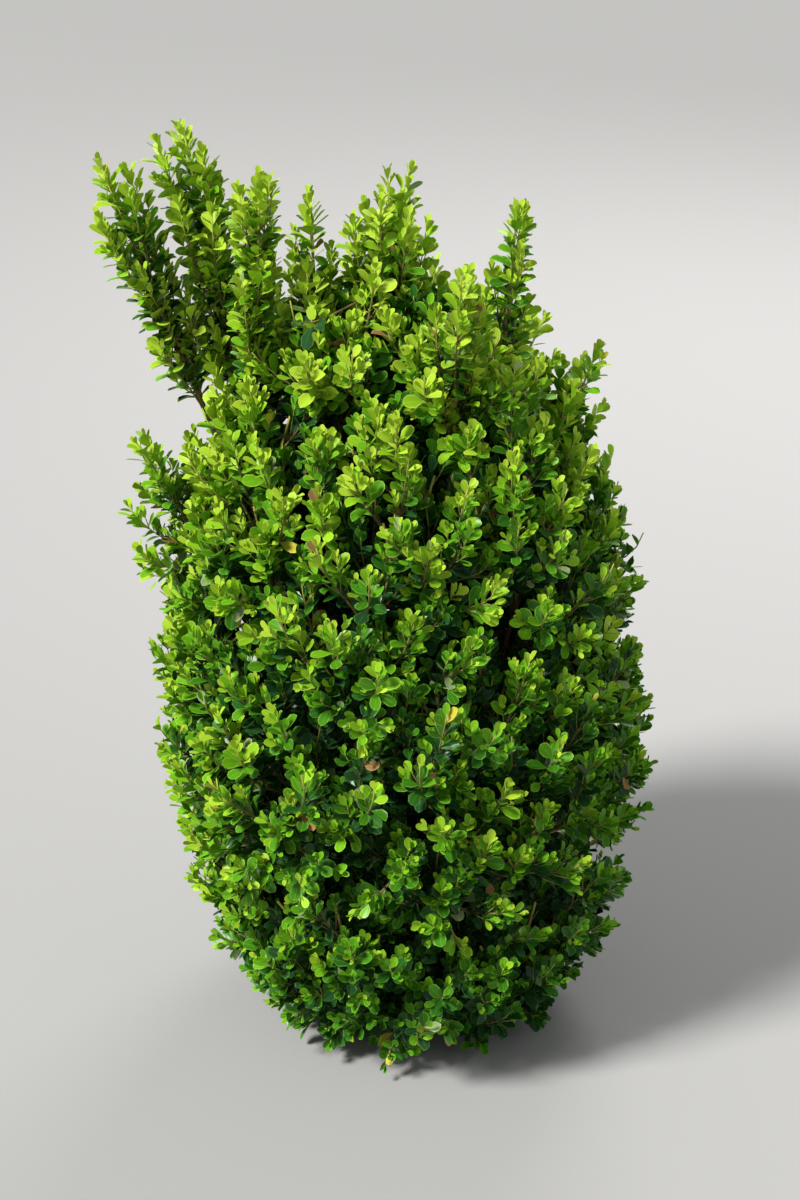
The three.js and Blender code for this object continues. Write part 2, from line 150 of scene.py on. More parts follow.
def lumps(points: np.ndarray, size: float, seed: int) -> np.ndarray:
    """A smooth field of lumps, as a sum of waves in seeded directions.

    Args:
        points: Points in millimetres.
        size: The lumps' size in millimetres.
        seed: Seed of the directions.

    Returns:
        A value from about -1 to 1 at each point.
    """
    rng = np.random.default_rng(seed)
    total = np.zeros(points.shape[:-1])
    for _ in range(LUMP_WAVES):
        way = unit(rng.normal(size=3)) * 2 * math.pi / (size * rng.uniform(*LUMP_LENGTHS))
        total += np.sin(points @ way + rng.uniform(0, 2 * math.pi))
    return total * 2 / LUMP_WAVES


class Sock:
    """A shader socket whose arithmetic adds Math nodes."""

    def __init__(self, tree: "Shader", link: bpy.types.NodeSocket) -> None:
        """Wraps an output socket of a shader."""
        self.tree = tree
        self.link = link

    def _math(self, operation: str, *values: "Sock | float") -> "Sock":
        """Adds a Math node with an operation and its inputs in order, and returns its result."""
        node = self.tree.add("ShaderNodeMath", {"operation": operation}, dict(enumerate(values)))
        return Sock(self.tree, node.outputs[0])

    def __add__(self, other: "Sock | float") -> "Sock":
        """Returns the sum."""
        return self._math("ADD", self, other)

    def __sub__(self, other: "Sock | float") -> "Sock":
        """Returns the difference."""
        return self._math("SUBTRACT", self, other)

    def __mul__(self, other: "Sock | float") -> "Sock":
        """Returns the product."""
        return self._math("MULTIPLY", self, other)

    def __rsub__(self, other: float) -> "Sock":
        """Returns a number less this value."""
        return self._math("SUBTRACT", other, self)

    __radd__ = __add__
    __rmul__ = __mul__

    def apply(self, operation: str, *values: "Sock | float") -> "Sock":
        """Returns this value through another Math operation, such as FRACT or ABSOLUTE."""
        return self._math(operation, self, *values)

    def ramp(self, low: float, high: float) -> "Sock":
        """Turns this value into a step with a smooth rise.

        Args:
            low: Where the rise starts.
            high: Where it ends.

        Returns:
            0 below low, 1 above high and a smooth rise between.
        """
        settings = {"interpolation_type": "SMOOTHSTEP"}
        inputs = {"Value": self, "From Min": low, "From Max": high}
        return Sock(self.tree, self.tree.add("ShaderNodeMapRange", settings, inputs).outputs["Result"])


class Shader:
    """A material's node tree with one Principled shader."""

    def __init__(self, name: str) -> None:
        """Makes a material with an empty Principled shader.

        Args:
            name: The material's name.
        """
        self.material = bpy.data.materials.new(name)
        self.material.use_nodes = True
        self.nodes = self.material.node_tree.nodes
        self.principled = self.nodes["Principled BSDF"]

    def add(self, kind: str, settings: dict, inputs: dict) -> bpy.types.Node:
        """Adds a node.

        Args:
            kind: The node's type.
            settings: Its properties, which are set first.
            inputs: Values or Socks by input name or number.

        Returns:
            The node.
        """
        node = self.nodes.new(kind)
        for key, value in settings.items():
            setattr(node, key, value)
        for key, value in inputs.items():
            self.feed(node.inputs[key], value)
        return node

    def feed(self, socket: bpy.types.NodeSocket, value: "Sock | float | tuple") -> None:
        """Links a Sock to a socket, or sets the socket's own value.

        Args:
            socket: The input socket.
            value: The Sock, number, vector or colour.
        """
        if isinstance(value, Sock):
            self.material.node_tree.links.new(value.link, socket)
        elif isinstance(value, tuple) and len(value) == 3 and socket.type == "RGBA":
            socket.default_value = (*value, 1)
        else:
            socket.default_value = value

    def set(self, **inputs: "Sock | float | tuple") -> None:
        """Feeds the Principled shader's inputs, with underscores for spaces in their names."""
        for key, value in inputs.items():
            self.feed(self.principled.inputs[key.replace("_", " ")], value)

    def mix(self, factor: "Sock | float", a: "Sock | tuple", b: "Sock | tuple") -> Sock:
        """Returns colour a where the factor is 0, colour b where it is 1, and their mix between."""
        node = self.add("ShaderNodeMix", {"data_type": "RGBA"}, {0: factor, 6: a, 7: b})
        return Sock(self, node.outputs[2])

    def noise(self, at: Sock, scale: float, detail: float = 2.0) -> Sock:
        """Returns a noise value from 0 to 1 at a place."""
        node = self.add("ShaderNodeTexNoise", {}, {"Vector": at, "Scale": scale, "Detail": detail})
        return Sock(self, node.outputs[0])

    def place(self) -> Sock:
        """Returns the place on the object, in metres."""
        return Sock(self, self.add("ShaderNodeTexCoord", {}, {}).outputs["Object"])

    def stretched(self, at: Sock, scale: tuple) -> Sock:
        """Returns a place scaled by its own number along each axis."""
        node = self.add("ShaderNodeMapping", {}, {"Vector": at, "Scale": scale})
        return Sock(self, node.outputs[0])

    def blade(self) -> Sock:
        """Returns the place on the leaf or twig, from its own map."""
        return Sock(self, self.add("ShaderNodeUVMap", {"uv_map": BLADE_MAP}, {}).outputs["UV"])

    def split(self, at: Sock) -> tuple[Sock, Sock]:
        """Returns a vector's first two parts."""
        node = self.add("ShaderNodeSeparateXYZ", {}, {"Vector": at})
        return Sock(self, node.outputs[0]), Sock(self, node.outputs[1])

    def bump(self, height: Sock, strength: float, distance: float) -> Sock:
        """Returns a normal that follows a height of some distance in metres, by a strength from 0 to 1."""
        inputs = {"Height": height, "Strength": strength, "Distance": distance}
        return Sock(self, self.add("ShaderNodeBump", {}, inputs).outputs[0])


@dataclass(frozen=True)
class BarkFinish:
    """Grey-brown bark with long cracks, paler ridges and patches of lichen."""

    name: str = "boxwood_bark"
    ridge: tuple = (0.30, 0.235, 0.16)
    hollow: tuple = (0.085, 0.058, 0.036)
    lichen: tuple = (0.26, 0.27, 0.19)
    crack_scale: tuple = (420.0, 420.0, 70.0)
    crack_detail: float = 4.0
    crack_edges: tuple = (0.38, 0.66)
    crack_bump: float = 0.7
    crack_depth: float = 0.0006
    patch_scale: float = 38.0
    patch_edges: tuple = (0.58, 0.74)
    patch_share: float = 0.4
    roughness: float = 0.88

    def make(self) -> bpy.types.Material:
        """Builds the material.

        Returns:
            The material.
        """
        shader = Shader(self.name)
        at = shader.place()
        grain = shader.noise(shader.stretched(at, self.crack_scale), 1.0, self.crack_detail)
        cracks = grain.ramp(*self.crack_edges)
        patches = shader.noise(at, self.patch_scale).ramp(*self.patch_edges)
        bark = shader.mix(cracks, self.hollow, self.ridge)
        colour = shader.mix(patches * self.patch_share, bark, self.lichen)
        shader.set(Base_Color=colour, Roughness=self.roughness)
        shader.set(Normal=shader.bump(cracks, self.crack_bump, self.crack_depth))
        return shader.material


@dataclass(frozen=True)
class TwigFinish:
    """A twig that is brown and woody at its foot and green at its tip."""

    name: str
    wood: tuple
    middle: tuple
    tip: tuple
    green_from: float
    fibre_stretch: tuple = (18.0, 5.0, 1.0)
    fibre_scale: float = 3.0
    fibre_detail: float = 3.0
    fibre_edges: tuple = (0.3, 0.7)
    fibre_bump: float = 0.3
    fibre_depth: float = 0.0002
    roughness: float = 0.7
    tip_gloss: float = 0.15

    def make(self) -> bpy.types.Material:
        """Builds the material.

        Returns:
            The material.
        """
        shader = Shader(self.name)
        along = shader.split(shader.blade())[1]
        stretched = shader.stretched(shader.blade(), self.fibre_stretch)
        fibres = shader.noise(stretched, self.fibre_scale, self.fibre_detail)
        wood = shader.mix(fibres.ramp(*self.fibre_edges), self.wood, self.middle)
        colour = shader.mix(along.ramp(self.green_from, 1.0), wood, self.tip)
        shader.set(Base_Color=colour, Roughness=self.roughness - self.tip_gloss * along)
        shader.set(Normal=shader.bump(fibres, self.fibre_bump, self.fibre_depth))
        return shader.material


class Tint(Enum):
    """The plain colours that leaves are dealt: from young tips to the shaded inside, then the odd ones."""

    BUD = "bud"
    LIME = "lime"
    FRESH = "fresh"
    GRASS = "grass"
    LEAF = "leaf"
    DEEP = "deep"
    SHADE = "shade"
    YELLOW = "yellow"
    DRY = "dry"
    PALE = "pale"


@dataclass(frozen=True)
class LeafFinish:
    """A leaf: its colour, a paler midrib and margin, a light gloss and a tone that differs by leaf."""

    tint: Tint
    slot: str
    colour: tuple
    rib: tuple
    roughness: float
    gloss: float
    spread: float = 0.22
    rib_edges: tuple = (0.01, 0.04)
    side_edges: tuple = (0.36, 0.43)
    tip_edges: tuple = (0.91, 0.96)
    foot_edges: tuple = (0.0, 0.34)
    rib_pale: float = 0.4
    foot_pale: float = 0.35
    vein_pale: float = 0.12
    margin_pale: float = 0.85
    vein_waves: tuple = (46.0, 60.0)
    mottle_scale: float = 26.0
    mottle_detail: float = 3.0
    mottle_share: float = 0.3
    mottle_rough: float = 0.14
    bump: float = 0.25
    bump_depth: float = 0.0003
    specular: float = 0.1
    coat_roughness: float = 0.2

    def _tone(self, u: Sock, v: Sock) -> Sock:
        """Gives each cell of the map a tone of its own.

        Args:
            u: The first part of the place on the map.
            v: Its second part.

        Returns:
            The tone, from 0 to 1.
        """
        by_column, by_row, factor = TONE_SCATTER
        column = (u * MAP_CELLS).apply("FLOOR") * by_column
        row = (v * MAP_CELLS).apply("FLOOR") * by_row
        return ((column + row).apply("SINE") * factor).apply("FRACT")

    def make(self) -> bpy.types.Material:
        """Builds the material.

        Returns:
            The material.
        """
        shader = Shader(f"leaf_{self.tint.value}")
        u, v = shader.split(shader.blade())
        across = ((u * MAP_CELLS).apply("FRACT") - 0.5).apply("ABSOLUTE")
        along = (v * MAP_CELLS).apply("FRACT")
        tone = self._tone(u, v)
        rib = 1 - across.ramp(*self.rib_edges)
        margin = across.ramp(*self.side_edges).apply("MAXIMUM", along.ramp(*self.tip_edges))
        foot = 1 - along.ramp(*self.foot_edges)
        mottle = shader.noise(shader.blade(), self.mottle_scale, self.mottle_detail)
        waves = (along * self.vein_waves[0] - across * self.vein_waves[1]).apply("SINE")
        veins = (waves * 0.5 + 0.5) * self.vein_pale
        dark = tuple(c * (1 - self.spread) for c in self.colour)
        light = tuple(min(1.0, c * (1 + self.spread)) for c in self.colour)
        body = shader.mix(tone * (1 - self.mottle_share) + mottle * self.mottle_share, dark, light)
        inner = rib * self.rib_pale + foot * self.foot_pale + veins
        pale = inner.apply("MAXIMUM", margin * self.margin_pale)
        shader.set(Base_Color=shader.mix(pale, body, self.rib))
        shader.set(Roughness=self.roughness + (mottle - 0.5) * self.mottle_rough)
        shader.set(Normal=shader.bump(mottle * 0.5 - rib, self.bump, self.bump_depth))
        shader.set(Specular_IOR_Level=self.specular)
        shader.set(Coat_Weight=self.gloss * 0.5, Coat_Roughness=self.coat_roughness)
        return shader.material


FOLIAGE_FINISHES = (
    LeafFinish(Tint.BUD, "foliage_top", (0.36, 0.56, 0.025), (0.53, 0.66, 0.10), 0.46, 0.1, 0.12),
    LeafFinish(Tint.LIME, "foliage_top", (0.235, 0.48, 0.010), (0.43, 0.61, 0.07), 0.42, 0.2),
    LeafFinish(Tint.FRESH, "foliage_top", (0.130, 0.38, 0.006), (0.33, 0.56, 0.06), 0.4, 0.25),
    LeafFinish(Tint.GRASS, "foliage_middle", (0.072, 0.262, 0.005), (0.24, 0.48, 0.05), 0.38, 0.3),
    LeafFinish(Tint.LEAF, "foliage_middle", (0.036, 0.168, 0.005), (0.16, 0.38, 0.045), 0.36, 0.35),
    LeafFinish(Tint.DEEP, "foliage_low", (0.016, 0.10, 0.007), (0.09, 0.25, 0.04), 0.34, 0.4),
    LeafFinish(Tint.SHADE, "foliage_low", (0.012, 0.062, 0.016), (0.07, 0.17, 0.045), 0.33, 0.4),
    LeafFinish(Tint.YELLOW, "foliage_top", (0.50, 0.43, 0.04), (0.62, 0.54, 0.14), 0.5, 0.05),
    LeafFinish(Tint.DRY, "foliage_low", (0.30, 0.16, 0.06), (0.42, 0.28, 0.14), 0.75, 0.0, 0.35),
    LeafFinish(Tint.PALE, "foliage_middle", (0.26, 0.36, 0.14), (0.40, 0.46, 0.26), 0.6, 0.0),
)
WOODY_TWIGS = TwigFinish("twig_woody", (0.13, 0.09, 0.04), (0.33, 0.235, 0.085), (0.38, 0.38, 0.07), 0.45)
GREEN_TWIGS = TwigFinish("twig_green", (0.33, 0.25, 0.10), (0.36, 0.32, 0.10), (0.36, 0.50, 0.05), 0.25)


@dataclass(frozen=True)
class Crown:
    """The clipped body's outline: a bowl below its girth and a dome above, on an axis that leans."""

    height: float = 876.0
    girth: float = 236.0
    girth_share: float = 0.31
    foot_share: float = 0.64
    dome_share: float = 0.85
    lean: float = -34.0
    bowl_power: float = 0.75
    dome_power: float = 2.5
    lowest_target: float = 3.0
    bands: int = 240

    def shift(self, z: np.ndarray | float) -> np.ndarray | float:
        """Returns how far the axis has moved sideways at a height."""
        return self.lean * (z / self.height) ** 2

    def radius(self, z: np.ndarray | float) -> np.ndarray:
        """Works out the outline's radius.

        Args:
            z: One height or an array of them.

        Returns:
            The radius at each height.
        """
        z = np.asarray(z, float)
        girth_z = self.girth_share * self.height
        dome_z = self.dome_share * self.height
        foot = self.foot_share * self.girth
        rise = np.sin(math.pi / 2 * np.clip(z / girth_z, 0, 1))
        bowl = foot + (self.girth - foot) * rise**self.bowl_power
        share = np.clip((z - girth_z) / (dome_z - girth_z), 0, 1)
        return np.where(z < girth_z, bowl, self.girth * np.sqrt(1 - share**self.dome_power))

    def from_axis(self, points: np.ndarray) -> np.ndarray:
        """Measures points from the axis.

        Args:
            points: One point or an array of them.

        Returns:
            The level vectors from the axis to the points.
        """
        out = points.copy()
        out[..., 0] -= self.shift(points[..., 2])
        out[..., 2] = 0
        return out

    def room(self, points: np.ndarray) -> np.ndarray:
        """Returns how far points are inside the skin, measured level."""
        return self.radius(points[..., 2]) - np.linalg.norm(self.from_axis(points), axis=-1)

    def targets(self, count: int, turn: float = 0.0) -> np.ndarray:
        """Spreads points over the skin: bands of equal area by height, and the golden angle round it.

        Args:
            count: Number of points.
            turn: Angle of the first, in radians.

        Returns:
            The points, from the ground up.
        """
        z = np.linspace(self.lowest_target, self.dome_share * self.height, self.bands)
        radius = self.radius(z)
        band = (radius[1:] + radius[:-1]) * np.hypot(np.diff(radius), np.diff(z))
        area = np.concatenate([[0], np.cumsum(band)])
        at = np.interp((np.arange(count) + 0.5) / count * area[-1], area, z)
        angle = np.arange(count) * GOLDEN_ANGLE + turn
        r = self.radius(at)
        return np.stack([r * np.cos(angle) + self.shift(at), r * np.sin(angle), at], axis=1)


BARREL_POWER = 4
SEED_SHARES = np.array([0.05, 0.35, 0.65, 0.95])
SEED_REACH = 0.8


@dataclass
class Mass:
    """One mass of foliage: the space round a straight stem from its foot to its tip."""

    name: str
    foot: np.ndarray
    tip: np.ndarray
    radius: float
    dome: bool
    fork_share: float | None = None

    @property
    def direction(self) -> np.ndarray:
        """Returns the stem's direction."""
        return unit(self.tip - self.foot)

    @property
    def length(self) -> float:
        """Returns the stem's length."""
        return float(np.linalg.norm(self.tip - self.foot))

    def reach(self, share: np.ndarray | float) -> np.ndarray:
        """Returns the half width at a share of the length: a long barrel with round ends."""
        off_middle = np.abs(2 * np.asarray(share) - 1)
        return self.radius * np.sqrt(np.maximum(1 - off_middle**BARREL_POWER, 0))

    def at(self, share: float) -> np.ndarray:
        """Returns a point of the stem."""
        return self.foot + (self.tip - self.foot) * share

    def share_of(self, point: np.ndarray) -> float:
        """Returns how far along the stem a point is, as a share."""
        return float((point - self.foot) @ self.direction / self.length)

    def seeds(self) -> tuple[np.ndarray, np.ndarray]:
        """Returns the points that claim this mass's space, and their powers."""
        points = self.foot + (self.tip - self.foot) * SEED_SHARES[:, None]
        return points, (SEED_REACH * self.reach(SEED_SHARES)) ** 2


@dataclass(frozen=True)
class Ring:
    """A ring of alike masses in the clipped body. Foot and tip are distance from the axis and height."""

    name: str
    count: int
    angle: float
    foot: tuple[float, float]
    tip: tuple[float, float]
    radius: float
    fork_share: float | None = None

    def masses(self, crown: Crown) -> list[Mass]:
        """Sets the ring's masses round the crown.

        Args:
            crown: The crown, whose axis the tips follow.

        Returns:
            The masses, the first at the ring's angle from +X.
        """
        made = []
        for k in range(self.count):
            angle = math.radians(self.angle) + 2 * math.pi * k / self.count
            tip = polar(self.tip[0], angle, self.tip[1])
            tip[0] += crown.shift(tip[2])
            foot = polar(self.foot[0], angle, self.foot[1])
            made.append(Mass(f"{self.name}_{k + 1}", foot, tip, self.radius, True, self.fork_share))
        return made


RINGS = (
    Ring("skirt", 5, 36, (8, 52), (208, 112), 108),
    Ring("waist", 5, 0, (84, 204), (200, 396), 102, 0.2),
    Ring("shoulder", 6, 30, (92, 378), (166, 588), 82, 0.45),
    Ring("crest", 4, 45, (46, 452), (84, 700), 56),
)
SHOOT_FORK = 0.62
SHOOTS = (
    ("plume_left", (-180, -2, 606), (-264, -34, 854), 34),
    ("plume_middle", (-154, 26, 610), (-196, 12, 876), 33),
    ("plume_right", (-136, -20, 600), (-126, -46, 850), 30),
    ("spire_left", (-82, 2, 640), (-88, 50, 804), 27),
    ("spire_middle", (-16, 2, 590), (-20, 22, 836), 44),
    ("spire_right", (78, 2, 604), (91, -36, 818), 27),
    ("spur_right", (118, -2, 540), (170, 22, 670), 38),
    ("spur_left", (-168, -8, 452), (-246, -30, 600), 36),
    ("spur_front", (34, -74, 580), (42, -112, 782), 30),
    ("spur_back", (70, 66, 566), (126, 92, 674), 34),
)
MAIN_MASSES = ("crest_1", "crest_2", "crest_3", "crest_4", "spire_right", "spire_middle", "plume_middle")


def plan_masses(crown: Crown) -> list[Mass]:
    """Places every mass of foliage.

    Args:
        crown: The crown that they fill.

    Returns:
        The masses, in the solids' order.
    """
    masses = [mass for ring in RINGS for mass in ring.masses(crown)]
    for name, foot, tip, radius in SHOOTS:
        ends = np.array([foot, tip], float)
        masses.append(Mass(name, *ends, radius, False, SHOOT_FORK))
    return masses


@dataclass
class Limb:
    """A limb: its line and its radius along it."""

    name: str
    line: np.ndarray
    radii: np.ndarray
    forks: int = 0

    def at(self, share: float) -> np.ndarray:
        """Returns a point of the limb."""
        return resample(self.line, np.array([share]))[0]

    def run(self, share: float) -> np.ndarray:
        """Returns the limb's direction at a share of its length."""
        index = min(int(share * (len(self.line) - 1)), len(self.line) - 2)
        return unit(self.line[index + 1] - self.line[index])


@dataclass
class Limbs:
    """The main stem and the boughs, by the same rule as the solids, with bark relief on their meshes."""

    stem_height: float = 92.0
    stem_radius: float = 19.0
    flare_radius: float = 33.0
    flare_lobes: int = 5
    lobe_depth: float = 0.22
    flare_power: float = 4
    fork_radius: float = 23.0
    fork_span: tuple[float, float] = (0.4, 0.8)
    head_from: float = 0.75
    head_round: float = 0.75
    stem_lean: tuple[float, float] = (-3.0, 2.0)
    fork_ring: float = 15.5
    fork_sink: float = 12.0
    fork_step: float = 0.03
    main_radii: tuple[float, float] = (6.4, 3.4)
    main_spread: float = 0.45
    side_radii: tuple[float, float] = (4.6, 2.8)
    side_spread: float = 0.8
    pull: float = 0.36
    stem_rings: int = 60
    stem_sides: int = 72
    bough_sides: int = 14
    fewest_rings: int = 8
    ring_step: float = 4.0
    stem_relief: float = 0.9
    bough_relief: float = 0.32
    ridge_size: float = 3.2
    ridge_run: float = 0.16
    ridge_seed: int = 5
    knob_size: float = 14.0
    knob_share: float = 0.6
    knob_seed: int = 9
    boughs: dict[str, Limb] = field(default_factory=dict)

    def stem_line(self, count: int) -> np.ndarray:
        """Works out the main stem's line.

        Args:
            count: Number of points.

        Returns:
            The points, from the ground up.
        """
        x, y = self.stem_lean
        third = self.stem_height / 3
        corners = [(0, 0, 0), (0, 0, third), (x, y, 2 * third), (x, y, self.stem_height)]
        return bezier([np.array(c, float) for c in corners], count)

    def stem_radius_at(self, share: np.ndarray, around: np.ndarray) -> np.ndarray:
        """Returns the main stem's radius.

        Args:
            share: How far up, from 0 to 1.
            around: Angle round it in radians.

        Returns:
            The radius: a lobed flare at the foot and a rounded head where it forks.
        """
        lobes = 1 + self.lobe_depth * np.cos(self.flare_lobes * around)
        flare = (self.flare_radius - self.stem_radius) * (1 - share) ** self.flare_power * lobes
        fork = (self.fork_radius - self.stem_radius) * smoothstep(share, *self.fork_span)
        rounding = np.sqrt(1 - self.head_round * smoothstep(share, self.head_from, 1) ** 2)
        return (self.stem_radius + flare + fork) * rounding

    def grow(self, masses: list[Mass]) -> None:
        """Grows the boughs to the feet of the masses.

        Args:
            masses: The masses of foliage.
        """
        by_name = {mass.name: mass for mass in masses}
        mains = [(by_name[name], self._main(by_name[name])) for name in MAIN_MASSES]
        for mass in masses:
            if mass.name not in self.boughs and mass.fork_share:
                self._side(mass, mains)

    def _bough(self, start: np.ndarray, leave: np.ndarray, mass: Mass, radii: tuple) -> Limb:
        """Grows one bough.

        Args:
            start: Where it starts.
            leave: The direction that it leaves in.
            mass: The mass that it ends at.
            radii: Its radius at its start and its end.

        Returns:
            The bough.
        """
        span = float(np.linalg.norm(mass.foot - start))
        pull = span * self.pull
        corners = [start, start + unit(leave) * pull, mass.foot - mass.direction * pull, mass.foot]
        count = max(self.fewest_rings, round(span / self.ring_step))
        line = bezier(corners, count)
        limb = Limb(f"bough_{mass.name}", line, np.linspace(*radii, count))
        self.boughs[mass.name] = limb
        return limb

    def _main(self, mass: Mass) -> Limb:
        """Grows a main bough, which leaves the head of the stem on its own mass's side.

        Args:
            mass: The mass that it ends at.

        Returns:
            The bough.
        """
        angle = math.atan2(mass.foot[1], mass.foot[0])
        start = self.stem_line(2)[-1] + polar(self.fork_ring, angle, -self.fork_sink)
        return self._bough(start, polar(self.main_spread, angle, 1), mass, self.main_radii)

    def _side(self, mass: Mass, mains: list[tuple[Mass, Limb]]) -> None:
        """Grows a side bough from the main bough that is nearest round the crown.

        Args:
            mass: The mass that it ends at.
            mains: Each main bough's mass and the bough.
        """
        azimuth = math.atan2(mass.foot[1], mass.foot[0])

        def turn(main: tuple[Mass, Limb]) -> float:
            """Measures how far round the crown a main bough is.

            Args:
                main: The main bough's mass and the bough.

            Returns:
                The angle between its mass and this one.
            """
            foot = main[0].foot
            apart = math.atan2(foot[1], foot[0]) - azimuth
            return abs(math.atan2(math.sin(apart), math.cos(apart)))

        parent = min(mains, key=turn)[1]
        parent.forks += 1
        share = mass.fork_share - self.fork_step * parent.forks
        leave = parent.run(share) + polar(self.side_spread, azimuth, 0)
        self._bough(parent.at(share), leave, mass, self.side_radii)

    def build(self) -> list[bpy.types.Object]:
        """Builds and dresses the bark of the stem and the boughs.

        Returns:
            The pieces.
        """
        bark = BarkFinish().make()
        made = [self._bark("main_stem", self.stem_line(self.stem_rings), None, self.stem_sides)]
        for limb in self.boughs.values():
            made.append(self._bark(limb.name, limb.line, limb.radii, self.bough_sides))
        for piece in made:
            piece.data.materials.append(bark)
        return made

    def _bark(
        self, node: str, line: np.ndarray, radii: np.ndarray | None, sides: int
    ) -> bpy.types.Object:
        """Builds a limb's skin with ridges along it and knobs where twigs were.

        Args:
            node: The limb's node.
            line: Its line.
            radii: Its radius at each point, or None for the main stem.
            sides: Number of faces round it.

        Returns:
            The piece.
        """
        around = np.linspace(0, 2 * math.pi, sides, endpoint=False)
        share = np.linspace(0, 1, len(line))
        if radii is None:
            radius = self.stem_radius_at(share[:, None], around[None, :])
            depth = self.stem_relief
        else:
            radius = np.repeat(radii[:, None], sides, axis=1)
            depth = self.bough_relief
        rings = rings_round(line[None], radius[None], sides)[0]
        ridges = lumps(rings * np.array([1, 1, self.ridge_run]), self.ridge_size, self.ridge_seed)
        grain = ridges + self.knob_share * lumps(rings, self.knob_size, self.knob_seed)
        out = unit(rings - line[:, None])
        if radii is None:
            out[:, :, 2] = 0
            out[-1] = UP
            rings[0, :, 2] = 0
        rings = rings + out * (grain * depth)[..., None]
        vertices, faces = close_tubes(rings[None], line[None, [0, -1]])
        piece = make_piece(f"bark_{node}", vertices, faces)
        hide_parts(node)
        return piece


def rings_round(lines: np.ndarray, radii: np.ndarray, sides: int) -> np.ndarray:
    """Puts a ring of points round each point of some lines.

    Args:
        lines: Lines of as many points each.
        radii: A radius for each point, or for each point and side.
        sides: Points in a ring.

    Returns:
        An array of line, point, side and coordinate.
    """
    run = tangents(lines)
    whole = unit(lines[:, -1] - lines[:, 0])
    level = np.where(np.abs(whole[:, :1]) < NEAR_X, [[1.0, 0, 0]], [[0, 1.0, 0]])
    reference = np.repeat(level[:, None], lines.shape[1], axis=1)
    first = unit(reference - run * (reference * run).sum(-1, keepdims=True))
    second = np.cross(run, first)
    angle = np.linspace(0, 2 * math.pi, sides, endpoint=False)
    if radii.ndim == 2:
        radii = np.repeat(radii[:, :, None], sides, axis=2)
    cosine, sine = np.cos(angle)[:, None], np.sin(angle)[:, None]
    ring = first[:, :, None] * cosine + second[:, :, None] * sine
    return lines[:, :, None] + ring * radii[..., None]


def close_tubes(rings: np.ndarray, ends: np.ndarray) -> tuple[np.ndarray, list[np.ndarray]]:
    """Joins rings to closed tubes.

    Args:
        rings: An array of tube, ring, side and coordinate.
        ends: The points that close each tube, at its start and its end.

    Returns:
        The vertices, and the faces as one array for each number of corners.
    """
    tubes, steps, sides, _ = rings.shape
    each = steps * sides + 2
    vertices = np.concatenate([rings.reshape(tubes, -1, 3), ends], axis=1).reshape(-1, 3)
    side = np.arange(sides)
    after = (side + 1) % sides
    row = np.arange(steps - 1)[:, None] * sides
    quads = np.stack([row + side, row + after, row + sides + after, row + sides + side], axis=-1)
    last = (steps - 1) * sides
    foot = np.stack([after, side, np.full(sides, each - 2)], axis=1)
    head = np.stack([last + side, last + after, np.full(sides, each - 1)], axis=1)
    start = (np.arange(tubes) * each)[:, None, None]
    triangles = np.concatenate([foot, head])
    return vertices, [(quads.reshape(-1, 4) + start).reshape(-1, 4), (triangles + start).reshape(-1, 3)]


def make_piece(name: str, vertices: np.ndarray, faces: list[np.ndarray]) -> bpy.types.Object:
    """Makes a smooth mesh object that rides with the shrub.

    Args:
        name: The object's name.
        vertices: Its points in millimetres.
        faces: Arrays of corner numbers, one array for each number of corners.

    Returns:
        The object.
    """
    mesh = bpy.data.meshes.new(name)
    corners = np.concatenate([face.ravel() for face in faces])
    sizes = np.concatenate([np.full(len(face), face.shape[1]) for face in faces])
    mesh.vertices.add(len(vertices))
    mesh.vertices.foreach_set("co", (vertices * MM).astype(np.float32).ravel())
    mesh.loops.add(len(corners))
    mesh.loops.foreach_set("vertex_index", corners.astype(np.int32))
    mesh.polygons.add(len(sizes))
    mesh.polygons.foreach_set("loop_start", (np.cumsum(sizes) - sizes).astype(np.int32))
    mesh.polygons.foreach_set("use_smooth", np.ones(len(sizes), bool))
    mesh.update(calc_edges=True)
    piece = bpy.data.objects.new(name, mesh)
    bpy.context.scene.collection.objects.link(piece)
    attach(piece, "root")
    return piece


def set_map(piece: bpy.types.Object, places: np.ndarray) -> None:
    """Writes a piece's own map of places on the leaf or twig.

    Args:
        piece: The piece.
        places: One place for each vertex.
    """
    mesh = piece.data
    layer = mesh.uv_layers.new(name=BLADE_MAP)
    index = np.empty(len(mesh.loops), np.int32)
    mesh.loops.foreach_get("vertex_index", index)
    layer.uv.foreach_set("vector", places[index].astype(np.float32).ravel())


@dataclass
class Twigs:
    """A set of twigs of one kind, gathered as lines and built as one mesh of tubes."""

    name: str
    finish: TwigFinish
    steps: int
    sides: int
    lines: list[np.ndarray] = field(default_factory=list)
    radii: list[tuple[float, float]] = field(default_factory=list)

    def add(self, line: np.ndarray, base: float, tip: float) -> None:
        """Adds a twig with a radius at its foot and its tip."""
        self.lines.append(resample(line, np.linspace(0, 1, self.steps)))
        self.radii.append((base, tip))

    def build(self, nodes: list[str]) -> bpy.types.Object:
        """Builds and dresses the mesh.

        Args:
            nodes: The nodes that it stands for.

        Returns:
            The piece.
        """
        lines = np.array(self.lines)
        share = np.linspace(0, 1, self.steps)
        ends = np.array(self.radii)
        radii = ends[:, :1] * (1 - share) + ends[:, 1:] * share
        rings = rings_round(lines, radii, self.sides)
        vertices, faces = close_tubes(rings, lines[:, [0, -1]])
        piece = make_piece(self.name, vertices, faces)
        around = np.tile(np.arange(self.sides) / self.sides, (self.steps, 1))
        along = np.repeat(share[:, None], self.sides, axis=1)
        places = np.concatenate([np.stack([around, along], -1).reshape(-1, 2), [[0.5, 0], [0.5, 1]]])
        set_map(piece, np.tile(places, (len(lines), 1)))
        piece.data.materials.append(self.finish.make())
        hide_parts(*nodes)
        return piece


